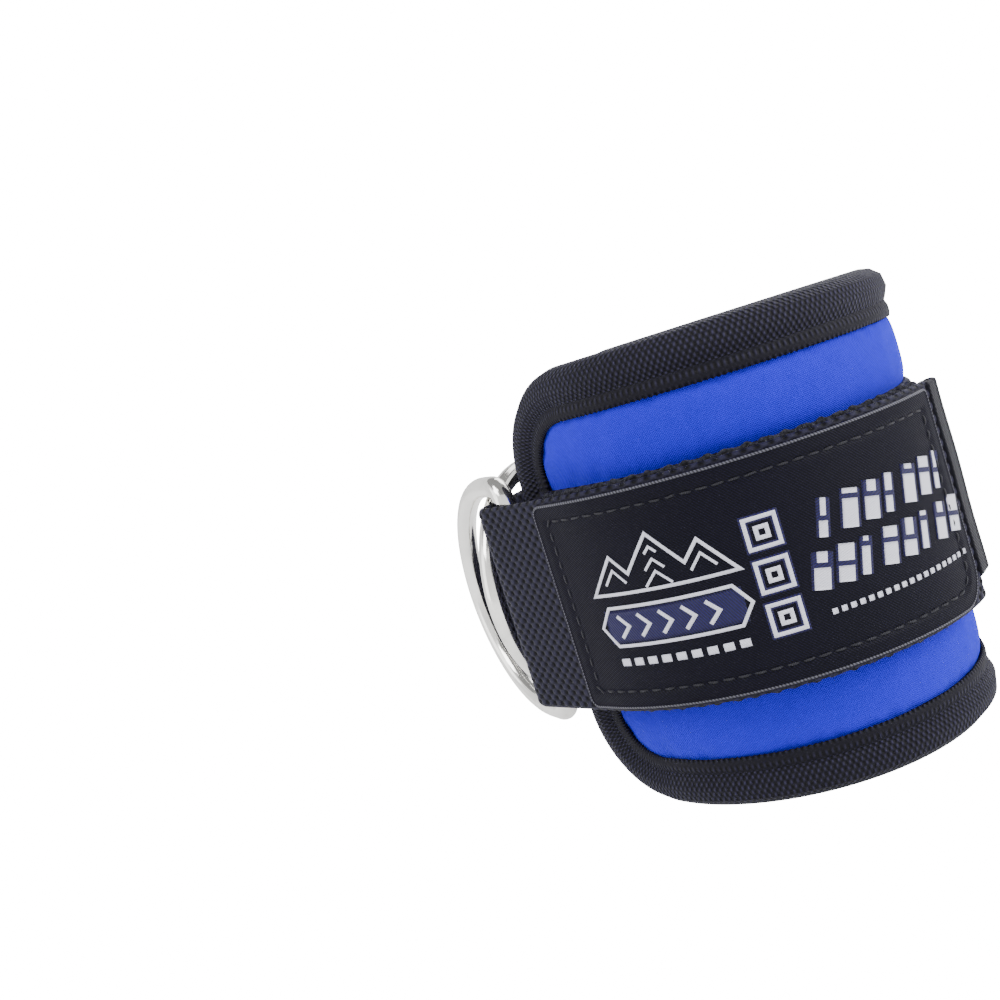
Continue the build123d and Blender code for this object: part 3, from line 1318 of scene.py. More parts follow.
@dataclass
class Pad:
    """Foam between a blue jersey face and a black lining, crowned between its seams."""

    sizes: CuffSizes
    crown: float = 1.9
    full_span: float = 15.0
    tucked: float = 0.6
    lift: float = 0.12
    ripple: float = 0.35
    sunk: float = 0.55
    lining_lift: float = 0.1
    lining_fullness: float = 0.12
    lining_wave: float = 0.07
    track: Track = field(init=False)
    outline: RoundedOutline = field(init=False)
    tension: JerseyTension | None = None

    def __post_init__(self) -> None:
        """Works out the track and the pad's edge."""
        self.track = pad_track(self.sizes)
        reach = self.sizes.round_half + self.sizes.wing + self.sizes.binding_cap
        rim = self.sizes.rim
        self.outline = RoundedOutline(-reach, reach, -rim, rim, (self.sizes.tip_radius,) * 4)

    def face(self, s: Array, z: Array) -> Array:
        """The jersey's outer face: flat under the strap, full between strap and binding.

        Args:
            s: Distances along the pad.
            z: Heights.

        Returns:
            The simulated rise or, without it, crown * (4x(1 - x))^0.7 with x from the strap's
            edge to the binding's; with shallow ripples, and sunk under the binding's seam.
        """
        depth = self.outline.depth(s, z)
        from_strap = np.maximum(np.abs(z) - self.sizes.strap_half, 0)
        from_tape = np.maximum(depth - self.sizes.binding_width + self.tucked, 0)
        span = from_strap + from_tape + 1e-6
        x = from_strap / span
        full = self.crown * (4 * x * (1 - x)) ** 0.7 * smooth(span / self.full_span)
        if self.tension:
            full = self.tension.at(s, z)
        ripple = np.cos(TURN * s / 9.3 + 2.1 * np.sin(s / 17.0)) * np.cos(s / 23.0) * x * (1 - x)
        under = smooth((self.sizes.binding_width - depth) / 2.5)
        return self.lift + full + self.ripple * ripple - self.sunk * under

    def back(self, s: Array, z: Array) -> Array:
        """The lining's inner face.

        Args:
            s: Distances along the pad.
            z: Heights.

        Returns:
            The pad's thickness inwards, a little full between the bindings, with shallow waves.
        """
        depth = self.outline.depth(s, z)
        fullness = smooth((depth - self.sizes.binding_width) / 12.0)
        wave = np.sin(s / 6.1 + np.sin(z / 9.0)) * np.cos(z / 11.0)
        inner = -self.sizes.pad_thickness + self.lining_lift
        return inner - self.lining_fullness * fullness - self.lining_wave * wave * fullness

    def fill_out(self) -> None:
        tension = JerseyTension(self)
        tension.run()
        self.tension = tension

    def build(self) -> None:
        """Makes the foam, the jersey and the lining."""
        skin = self.sizes.skin
        cap = self.sizes.binding_cap
        layers = (
            ("pad_face_fabric", self.face, lambda s, z: self.face(s, z) - skin, BLUE_JERSEY,
             "blue_jersey", "face_fabric", 0.9, 121),
            ("pad_lining", lambda s, z: self.back(s, z) + skin, self.back, BLACK_LINING,
             "black_lining", "inner_lining", 1.5, 65),
            ("pad_foam", lambda s, z: self.face(s, z) - skin - 0.02,
             lambda s, z: self.back(s, z) + skin + 0.02, PAD_FOAM, "foam", "foam_core", 2.5, 41),
        )
        for name, top, bottom, finish, slot, node, step, columns in layers:
            shell = ShellMesh()
            OutlineSheet(self.track, self.outline, cap, top, bottom, step, columns).add_to(shell)
            piece = settle(shell.make(name), finish, "cuff", [node])
            name == "pad_foam"


@dataclass
class EdgeBinding:
    """Tape rolled round the pad's edge and stitched through, with its two rows of stitches."""

    pad: Pad
    thickness: float = 0.9
    step: float = 0.6
    stitch_pull: float = 0.16
    groove: float = 1.1
    unevenness: float = 0.18
    roll_middle: float = 3.5
    roll: float = 2.0
    picot: float = 0.16
    picot_pitch: float = 1.15
    # Across the tape, from the outer flap's edge round the rim to the inner flap's edge:
    # distance in from the rim and offset from the pad's face.
    section: tuple[Point, ...] = (
        (10.5, 0.75), (9.8, 0.98), (8.7, 0.95), (7.8, 0.62), (7.0, 0.55), (6.1, 1.0), (4.2, 1.75),
        (1.9, 1.4), (0.45, -0.3), (0.0, -2.2), (0.5, -4.2), (1.9, -5.6), (3.9, -6.1),
        (6.6, -5.95), (7.5, -5.85), (8.6, -5.95), (10.5, -6.0),
    )

    def closed_section(self) -> tuple[Array, Array]:
        """The tape's section and its distance across.

        Returns:
            The outer curve and, one thickness inside it, the inner curve back again; and each
            point's distance along the outer curve.
        """
        outer = catmull(np.array(self.section), 3)
        step = np.gradient(outer, axis=0)
        normal = np.stack([-step[:, 1], step[:, 0]], -1) / np.linalg.norm(step, axis=1)[:, None]
        inner = outer - normal * self.thickness
        across = np.concatenate([[0], np.cumsum(np.linalg.norm(np.diff(outer, axis=0), axis=1))])
        return np.concatenate([outer, inner[::-3]]), np.concatenate([across, across[::-3]])

    def build(self) -> None:
        """Carries the section round the pad's outline."""
        section, across = self.closed_section()
        loop = self.pad.outline.loop()
        t = spaced(0, loop.length, self.step)[:-1]
        points, normals = loop.at(t)
        inset = section[None, :, 0]
        pull = np.cos(TURN * t / self.seam_pitch(loop)) * 0.5 + 0.5
        from_seam = section[None, :, 0] - self.pad.sizes.binding_seam
        groove = np.exp(-(from_seam / self.groove) ** 2) * (section[None, :, 1] > -1)
        swell = np.sin(t / 31.0) * np.sin(t / 13.0)
        from_roll = section[None, :, 0] - self.roll_middle
        roll = np.exp(-(from_roll / self.roll) ** 2) * (section[None, :, 1] > -2.2)
        offset = section[None, :, 1] - self.stitch_pull * pull[:, None] * groove
        offset = offset + self.unevenness * swell[:, None] * roll
        picot = self.picot * np.cos(TURN * t / self.picot_pitch)[:, None]
        picot = picot * smooth((section[None, :, 0] - 9.9) / 0.6)
        s = points[:, :1] - (inset + picot) * normals[:, :1]
        z = points[:, 1:] - (inset + picot) * normals[:, 1:]
        uv = np.stack(np.broadcast_arrays(t[:, None], across[None]), -1)
        uv = np.concatenate([uv, uv[:1] + [[[loop.length, 0.0]]]], 0)
        uv = np.concatenate([uv, uv[:, :1]], 1)
        shell = ShellMesh()
        shell.add(self.pad.track.lay(s, z, offset), uv, wrap_rows=True)
        settle(shell.make("edge_binding_tape"), BINDING_TAPE, "cuff", ["edge_binding"])

    def seam_pitch(self, loop: Track) -> float:
        """A pitch near the usual stitch's that divides the seam evenly."""
        return loop.length / round(loop.length / STITCH)

    def stitch(self) -> None:
        """Stitches in the groove outside, and flat on the inner flap."""
        loop = self.pad.outline.loop()
        pitch = self.seam_pitch(loop)
        clear = self.pad.sizes.strap_half + 0.4
        seam = self.pad.sizes.binding_seam
        outside = ShellMesh()
        StitchRow(self.pad.track, loop, seam, flat_at(0.62), pitch, 2.5, 0.75, seed=3).add_to(
            outside, keep=lambda s, z: np.abs(z) - clear)
        settle(outside.make("binding_stitches_outer"), BLACK_THREAD, "cuff",
               ["binding_thread_outer"])
        inside = ShellMesh()
        StitchRow(self.pad.track, loop, seam, flat_at(-5.86), pitch, side=-1.0, seed=4).add_to(inside)
        settle(inside.make("binding_stitches_inner"), BLACK_THREAD, "cuff",
               ["binding_thread_inner"])


# --- straps --------------------------------------------------------------------------------
def weave_relief(s: Array, z: Array) -> Array:
    """The webbing's bumps: rise * (1 - (1 - h)^2) - sink with h = 0.5 + 0.5 cos(s) cos(z)."""
    lobes = np.cos(TURN * s / WEBBING.pitch) * np.cos(TURN * z / WEBBING.course) * 0.5 + 0.5
    return WEAVE_RISE * (1 - (1 - lobes) ** 2) - WEAVE_SINK


def pile_relief(seed: int, height: float) -> Relief:
    """A rough pile.

    Args:
        seed: Picks the waves.
        height: How far it rises and falls.

    Returns:
        height * (the sum of nine waves of seeded direction, each about a loop long) / 5, capped.
    """
    draw = np.random.default_rng(seed)
    waves = draw.normal(0.0, TURN / 1.9, (9, 2))
    phases = draw.uniform(0, TURN, 9)

    def relief(s: Array, z: Array) -> Array:
        """The pile's height.

        Args:
            s: Distances along the tape.
            z: Heights.

        Returns:
            The height at each point.
        """
        total = np.zeros(np.shape(s))
        for (a, b), phase in zip(waves, phases):
            total = total + np.cos(a * s + b * z + phase)
        return height * np.clip(total / 5, -1, 1)

    return relief


@dataclass
class BaseStrap:
    """Webbing sewn round the pad, with the loop tape and its stitches."""

    pad: Pad

    def build(self) -> None:
        """Makes the webbing, the loop tape and the stitches."""
        sizes, track = self.pad.sizes, self.pad.track
        reach = sizes.round_half + sizes.wing
        shell = ShellMesh()
        Strip(track, -reach, reach, sizes.strap_half, 0.0, sizes.webbing, 0.55, 91,
              relief=weave_relief).add_to(shell)
        settle(shell.make("base_strap_webbing"), WEBBING, "cuff", ["base_strap"])
        self.add_loop_tape(sizes, track)
        rows = ShellMesh()
        radius = sizes.pad_radius
        start, end = (radius * math.radians(phi) for phi in (sizes.fixed_start + 4, sizes.loop_start - 3))
        for index, side in enumerate((-1, 1)):
            path = Track((Run((start, side * (sizes.strap_half - 3)), (1, 0), end - start, (0, 1)),))
            StitchRow(track, path, 0.0, flat_at(sizes.webbing + 0.1), seed=10 + index).add_to(rows)
        settle(rows.make("base_strap_stitches"), BLACK_THREAD, "cuff", ["base_strap_stitching"])

    def add_loop_tape(self, sizes: CuffSizes, track: Track) -> None:
        """The pile that the tail closes on.

        Args:
            sizes: The cuff's sizes.
            track: The pad's track.
        """
        shell = ShellMesh()
        start = sizes.pad_radius * math.radians(sizes.loop_start)
        end = sizes.round_half + sizes.keeper_start - 2
        Strip(track, start, end, sizes.strap_half - 0.5, sizes.webbing + 0.15,
              sizes.webbing + sizes.loop_pile, 0.5, 97, relief=pile_relief(21, 0.3)).add_to(shell)
        settle(shell.make("loop_tape_pile"), LOOP_PILE, "cuff", ["loop_tape"])


@dataclass
class RingKeepers:
    """Two loops of webbing sewn to the wings, each round a ring's bar, with bartacks."""

    pad: Pad

    def loop_curve(self) -> Array:
        """The keeper's middle line on the wing: out along its leg, round the bar and back.

        Returns:
            (distance past the round part, offset) points, smoothly joined.
        """
        sizes = self.pad.sizes
        end = sizes.pad_radius * radial(sizes.wrap)
        out, ahead = radial(sizes.wrap), along(sizes.wrap)
        bar = np.array(sizes.bar)
        reach, lift = float((bar - end) @ ahead), float(bar @ out) - sizes.pad_radius
        radius = sizes.keeper_hole + sizes.keeper_webbing / 2
        low = sizes.webbing + sizes.keeper_webbing / 2
        high = low + sizes.keeper_webbing
        turn = np.radians(np.linspace(-100, 100, 9))
        ring = np.stack([reach + radius * np.cos(turn), lift + radius * np.sin(turn)], -1)
        leg_in = np.array([[sizes.keeper_start, low], [sizes.keeper_start + 3, low],
                           [sizes.keeper_start + 6, low - 0.1]])
        leg_out = np.array([[sizes.keeper_start + 7, high + 0.6], [sizes.keeper_start + 3.5, high + 0.05],
                            [sizes.keeper_start, high]])
        return catmull(np.concatenate([leg_in, ring, leg_out]), 6)

    def build(self) -> None:
        """Makes both keepers and both pairs of bartacks."""
        sizes = self.pad.sizes
        line = self.loop_curve()
        step = np.gradient(line, axis=0)
        normal = np.stack([-step[:, 1], step[:, 0]], -1) / np.linalg.norm(step, axis=1)[:, None]
        run = np.concatenate([[0], np.cumsum(np.linalg.norm(np.diff(line, axis=0), axis=1))])
        half, thick = sizes.keeper_height / 2, sizes.keeper_webbing / 2 - 0.03
        z_front = np.linspace(-half + 0.5, half - 0.5, 41)
        z = np.concatenate([z_front, [half], z_front[::-1], [-half]])
        o = np.concatenate([np.ones(41), [0], -np.ones(41), [0]]) * thick
        for side, name in ((1, "label_side"), (-1, "plain_side")):
            place = line[:, None] + normal[:, None] * o[None, :, None]
            s = side * (sizes.round_half + place[..., 0])
            grid = self.pad.track.lay(s, np.broadcast_to(z, s.shape), place[..., 1])
            uv = np.stack(np.broadcast_arrays(run[:, None], z[None]), -1)
            shell = ShellMesh()
            shell.add(grid, np.concatenate([uv, uv[:, :1]], 1))
            settle(shell.make(f"ring_keeper_webbing_{name}"), WEBBING, "cuff",
                   [f"ring_keeper_{name}"])
            tacks = ShellMesh()
            for index, start in enumerate((1.5, 3.6)):
                middle = side * (sizes.round_half + sizes.keeper_start + start)
                path = Track((Run((middle, 3 - half), (0, 1), sizes.keeper_height - 6, (1, 0)),))
                top = flat_at(sizes.webbing + 2 * sizes.keeper_webbing + 0.05)
                StitchRow(self.pad.track, path, 0.0, top, 0.8, 0.75, 1.7, 0.3,
                          seed=30 + index).add_to(tacks)
            settle(tacks.make(f"keeper_bartack_thread_{name}"), BLACK_THREAD, "cuff",
                   [f"keeper_bartack_{name}"])


@dataclass
class DRing:
    """Welded D of round wire on its bar."""

    sizes: CuffSizes
    name: str
    body: str
    side: float
    heading: float
    step: float = 0.6
    weld_rise: float = 0.12
    weld_length: float = 1.6
    around: int = 28

    def centre_line(self) -> tuple[Array, Array]:
        """The wire's middle line in its own plane, closed.

        Returns:
            (distance from the bar, height) points from the bar's middle round the D, and the
            unit tangents: a straight bar, two small corners, two legs and a half circle.
        """
        half, corner, leg = self.sizes.ring_half, self.sizes.ring_corner, self.sizes.ring_leg
        loop = Track((
            Run((0.0, 0.0), (0, 1), half - corner, (-1, 0)),
            Bend((corner, half - corner), corner, 270, 360),
            Run((corner, half), (1, 0), leg - corner, (0, 1)),
            Bend((leg, 0.0), half, 0, 180),
            Run((leg, -half), (-1, 0), leg - corner, (0, -1)),
            Bend((corner, corner - half), corner, 180, 270),
            Run((0.0, corner - half), (0, 1), half - corner, (-1, 0)),
        ))
        return loop.at(spaced(0, loop.length, self.step)[:-1])

    def build(self) -> None:
        """Carries the wire's round section along the D."""
        points, normals = self.centre_line()
        turn = np.linspace(0, TURN, self.around, endpoint=False)
        radius = self.sizes.wire_radius
        run = np.arange(len(points)) * self.step
        whole = len(points) * self.step
        weld = self.weld_rise * np.exp(-(np.minimum(run, whole - run) / self.weld_length) ** 2)
        girth = radius + weld[:, None]
        flat = points[:, None] + normals[:, None] * (girth * np.cos(turn)[None])[..., None]
        aside = np.broadcast_to((girth * np.sin(turn)[None])[..., None], flat.shape[:2] + (1,))
        ahead = np.array([math.cos(math.radians(self.heading)), math.sin(math.radians(self.heading)), 0])
        across = np.array([-ahead[1], ahead[0], 0])
        bar = np.array([self.side * self.sizes.bar[0], self.sizes.bar[1], 0.0])
        grid = bar + flat[..., :1] * ahead + aside * across + flat[..., 1:] * np.array([0, 0, 1.0])
        rows = np.append(run, whole)
        columns = np.append(turn, TURN) * radius
        uv = np.stack(np.meshgrid(rows, columns, indexing="ij"), -1)
        shell = ShellMesh()
        shell.add(grid, uv, wrap_rows=True)
        settle(shell.make(f"d_ring_wire_{self.name}"), RING_STEEL, self.body,
               [f"d_ring_{self.name}"])


def closing_track(sizes: CuffSizes) -> Track:
    """The closing strap's middle line.

    Args:
        sizes: The cuff's sizes.

    Returns:
        Its sewn end, the way to the plain bar, round it, the dip between the bars, round the
        label bar, and the tail.
    """
    half = sizes.webbing / 2
    seat = sizes.pad_radius + sizes.webbing
    fold = sizes.fold_radius + half
    bar = sizes.bar
    plain = (-bar[0], bar[1])

    def touch(centre: Point, radius: float) -> tuple[float, float]:
        """The straight that leaves the fold round the bar and touches a circle.

        Args:
            centre: The circle's centre.
            radius: Its radius, to the strap's inner side.

        Returns:
            The angle phi at which they touch, and the straight's length.
        """
        dx, dy = bar[0] - centre[0], bar[1] - centre[1]
        span, spare = math.hypot(dx, dy), radius - sizes.fold_radius
        return math.degrees(math.atan2(dx, dy) - math.acos(spare / span)), math.sqrt(span**2 - spare**2)

    leave, line = touch((0.0, 0.0), seat)
    turn, tail_line = touch(sizes.tail_shift, sizes.tail_radius)
    drop = math.sqrt((sizes.sag_radius + fold + half) ** 2 - bar[0] ** 2)
    sag = math.degrees(math.atan2(bar[0], drop))
    start = (seat + half) * radial(-leave)
    lift = np.array(bar) + fold * radial(turn)
    return Track((
        Bend((0.0, 0.0), seat + half, sizes.fixed_start, -leave),
        Run(tuple(start), tuple(-along(-leave)), line, tuple(radial(-leave))),
        Bend(plain, fold, -leave, -(180 + sag)),
        Bend((0.0, bar[1] - drop), sizes.sag_radius + half, -sag, sag, -1.0),
        Bend(bar, fold, 180 + sag, turn),
        Run(tuple(lift), tuple(-along(turn)), tail_line, tuple(radial(turn))),
        Bend(sizes.tail_shift, sizes.tail_radius + half, turn, sizes.tail_end),
    ))


@dataclass
class ClosingStrap:
    """One length of webbing from its sewn end over both bars to the tail, and what is on it."""

    sizes: CuffSizes
    track: Track = field(init=False)

    def __post_init__(self) -> None:
        """Works out the strap's track."""
        self.track = closing_track(self.sizes)

    def tail_at(self, phi: float) -> float:
        """Distance along the track of an angle on the tail's arc."""
        radius = self.track.pieces[-1].radius
        return self.track.reach(7) - radius * math.radians(phi - self.sizes.tail_end)

    def before_tail(self, straight: float) -> float:
        """Distance along the track of a point so far before the tail's arc."""
        return self.track.reach(6) - straight

    def build(self) -> None:
        """The webbing, bent round the label bar on its way from the cuff to the tail, in one piece attached
        to no body; then what is on it.
        """
        sizes = self.sizes
        shell = ShellMesh()
        Strip(self.track, 0.0, self.track.length, sizes.strap_half, -sizes.webbing / 2,
              sizes.webbing / 2, 0.45, 111, relief=weave_relief).add_to(shell)
        piece = settle(shell.make("closing_strap_webbing"), WEBBING, "",
                       ["closing_strap", "tail_webbing"])
        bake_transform(piece)
        self.add_box_stitches()
        self.add_hook_tape()
        self.add_end_tab()

    def add_box_stitches(self) -> None:
        """A box with a cross in it, through the sewn end."""
        sizes = self.sizes
        radius = sizes.pad_radius + 1.5 * sizes.webbing
        start, end = radius * math.radians(4), radius * math.radians(34)
        high = sizes.strap_half - 4
        box = RoundedOutline(start, end, -high, high, (0.01,) * 4).loop()
        span = math.hypot(end - start, 2 * high)
        top = flat_at(sizes.webbing / 2 + 0.1)
        shell = ShellMesh()
        StitchRow(self.track, box, 0.0, top, seed=41).add_to(shell)
        for index, side in enumerate((-1, 1)):
            heading = ((end - start) / span, side * 2 * high / span)
            path = Track((Run((start, -side * high), heading, span, (-heading[1], heading[0])),))
            StitchRow(self.track, path, 0.0, top, start=1.5, end=span - 1.0, seed=42 + index).add_to(shell)
        settle(shell.make("closing_strap_stitches"), BLACK_THREAD, "cuff",
               ["closing_strap_stitching"])

    def add_hook_tape(self) -> None:
        """Hook tape under the tail, with a soft uneven edge."""
        sizes = self.sizes
        draw = np.random.default_rng(51)
        phases = draw.uniform(0, TURN, 3)

        def spread(s: Array) -> Array:
            """How far the tape stands out past the webbing: scallops and a small wave.

            Args:
                s: Distances along the strap.

            Returns:
                The extra half width at each.
            """
            scallop = np.abs(np.sin(math.pi * s / 4.2 + phases[0]))
            return 0.15 + 0.75 * scallop + 0.12 * np.sin(s * 2.3 + phases[1])

        low = -sizes.webbing / 2 - sizes.hook_tape
        shell = ShellMesh()
        Strip(self.track, self.before_tail(sizes.hook_straight), self.tail_at(sizes.tail_end + 2),
              sizes.strap_half, low, -sizes.webbing / 2 - 0.02, 0.5, 61, 97,
              back_relief=pile_relief(52, 0.3), spread=spread).add_to(shell)
        settle(shell.make("hook_tape_strip"), HOOK_TAPE, "tail", ["hook_tape"])
        fuzz = ShellMesh()
        LooseFibres(self.track, self.before_tail(sizes.hook_straight) + 1, self.tail_at(sizes.tail_end + 3),
                    sizes.strap_half, low, sizes.webbing / 2).add_to(fuzz)
        settle(fuzz.make("loose_fibres"), FIBRES, "tail")

    def add_end_tab(self) -> None:
        """A folded strip over the tail's end: a flat U in s and offset, carried upwards."""
        sizes = self.sizes
        start, end = self.tail_at(sizes.tail_end + 1), self.tail_at(sizes.tab_start)
        half = sizes.webbing / 2 + 0.6
        turn = np.radians(np.linspace(90, -90, 9))
        edge = np.stack([end - half + half * np.cos(turn), half * np.sin(turn)], -1)
        section = np.concatenate([
            np.linspace((start, half), (end - half, half), 10)[:-1], edge,
            np.linspace((end - half, -half), (start, -half), 10)[1:],
        ])
        pinch = 0.35 * np.exp(-((section[:, 0] - end + 3.4) / 0.5) ** 2)
        section[:, 1] -= np.sign(section[:, 1]) * pinch
        z = with_ends(spaced(sizes.tab_low, sizes.tab_high, 0.8), 0.8)
        to_end = np.minimum(z - z[0], z[-1] - z) / 0.8
        thin = 0.55 + 0.45 * np.sqrt(1 - (1 - np.clip(to_end, 0, 1)) ** 2)
        s = np.broadcast_to(section[None, :, 0], (len(z), len(section)))
        offset = section[None, :, 1] * thin[:, None] + 0.08 * np.sin(z / 4.0)[:, None]
        heights = np.broadcast_to(z[:, None], s.shape)
        run = np.concatenate([[0], np.cumsum(np.linalg.norm(np.diff(section, axis=0), axis=1))])
        uv = np.stack(np.broadcast_arrays(run[None], z[:, None]), -1)
        shell = ShellMesh()
        shell.add(self.track.lay(s, heights, offset), np.concatenate([uv, uv[:, :1]], 1))
        settle(shell.make("end_tab_fold"), FOLDED_TAPE, "tail", ["end_tab"])


# --- the label -----------------------------------------------------------------------------
class Ink(Enum):
    """Thread of a woven shape, or of the light line along the label's fold, which is a painted highlight."""

    WHITE = "white"
    NAVY = "navy"
    # Painted highlight along the fold's outer edge.
    EDGE = "edge"


@dataclass(frozen=True)
class Stroke:
    """A woven line on the label: points right and up from its lower left, and half its width."""

    points: tuple[Point, ...]
    half: float
    ink: Ink = Ink.WHITE
    closed: bool = False

    def corners(self) -> tuple[Array, Array]:
        """The line's points, about half a millimetre apart.

        Returns:
            The points and, for each, the direction in which the line widens, mitred.
        """
        given = np.array(self.points, float)
        if self.closed:
            given = np.concatenate([given, given[:1]])
        step = np.diff(given, axis=0)
        lengths = np.linalg.norm(step, axis=1)
        side = np.stack([-step[:, 1], step[:, 0]], -1) / lengths[:, None]
        before = np.concatenate([side[-1:] if self.closed else side[:1], side])
        after = np.concatenate([side, side[:1] if self.closed else side[-1:]])
        mitre = (before + after) / np.maximum(1 + np.sum(before * after, 1), 0.35)[:, None]
        run = np.concatenate([[0], np.cumsum(lengths)])
        fine = np.unique(np.concatenate([spaced(0, run[-1], 0.6), run]))
        both = np.concatenate([given, mitre], 1)
        read = np.stack([np.interp(fine, run, column) for column in both.T], -1)
        return read[:, :2], read[:, 2:]


def ring_of(centre: Point, size: Point, count: int, start: float = 0.0) -> tuple[Point, ...]:
    """Corners of a regular figure stretched to a size."""
    turn = np.radians(start) + np.linspace(0, TURN, count, endpoint=False)
    return tuple(zip(centre[0] + size[0] * np.cos(turn), centre[1] + size[1] * np.sin(turn)))


def slanted_bar(left: float, low: float, width: float, height: float, lean: float) -> tuple[Point, ...]:
    """Middle line of a leaning bar."""
    return ((left + width / 2, low), (left + width / 2 + lean * height, low + height))


def woven_shapes() -> list[Stroke]:
    """The label's plain pattern.

    Returns:
        Peaks over a band of chevrons, three squares, two rows of bars and two of dashes.
    """
    shapes: list[Stroke] = []
    left, right, middle, rise = 11.5, 45.0, 18.4, 4.2
    peak, lean, bar_pitch = 28.2, 0.25, 5.1
    shapes.append(Stroke(((left + 1.4, middle), (right - 1.4, middle)), rise - 0.5, Ink.NAVY))
    band = ((left, middle), (left + 3, middle + rise), (right - 3, middle + rise), (right, middle),
            (right - 3, middle - rise), (left + 3, middle - rise))
    shapes.append(Stroke(band, 0.38, closed=True))
    for k in range(5):
        x = left + 4.6 + 5.0 * k
        shapes.append(Stroke(((x, middle + 2.4), (x + 2.4, middle), (x, middle - 2.4)), 0.45))
    peaks = ((12.0, 25.5), (18.5, 33.5), (22.0, 29.5), (peak, 37.0), (34.5, 29.5), (38.0, 33.5), (44.5, 25.5))
    shapes.append(Stroke(peaks, 0.38, closed=True))
    for k in range(3):
        low, reach = 34.2 - 2.6 * k, 1.3 + 0.8 * k
        shapes.append(Stroke(((peak - reach, low - reach), (peak, low), (peak + reach, low - reach)), 0.3))
    for x in (18.5, 38.0):
        shapes.append(Stroke(((x - 2.6, 27.6), (x, 30.6), (x + 2.6, 27.6)), 0.3))
    for k in range(9):
        shapes.append(Stroke(((14.0 + 3.3 * k, 10.6), (16.1 + 3.3 * k, 10.6)), 0.85))
    for k in range(3):
        centre = (50.4, 13.6 + 8.9 * k)
        shapes.append(Stroke(ring_of(centre, (4.3, 4.3), 4, 45.0), 0.85, Ink.NAVY, True))
        shapes.append(Stroke(ring_of(centre, (4.3, 4.3), 4, 45.0), 0.45, closed=True))
        shapes.append(Stroke(ring_of(centre, (1.5, 1.5), 4, 45.0), 0.45, closed=True))
    for row, (start, low, height, bars) in enumerate(((60.5, 26.6, 7.6, 7), (56.7, 16.6, 7.4, 8))):
        for k in range(bars):
            left = start + bar_pitch * k
            wide = 1.75 if (k + row) % 3 else 0.95
            line = slanted_bar(left, low, 2 * wide, height, lean)
            shapes.append(Stroke(line, wide + 0.5, Ink.NAVY))
            share = 0.42 + 0.16 * ((2 * k + row) % 3)
            cut = (line[0][0] + share * lean * height, low + share * height)
            shapes.append(Stroke((line[0], cut), wide))
            gap = (cut[0] + 0.25, cut[1] + 1.0)
            shapes.append(Stroke((gap, line[1]), wide * (0.65 + 0.35 * (k % 2))))
    for k in range(19):
        shapes.append(Stroke(((59.0 + 1.95 * k, 11.8), (60.1 + 1.95 * k, 11.8)), 0.6))
    return shapes


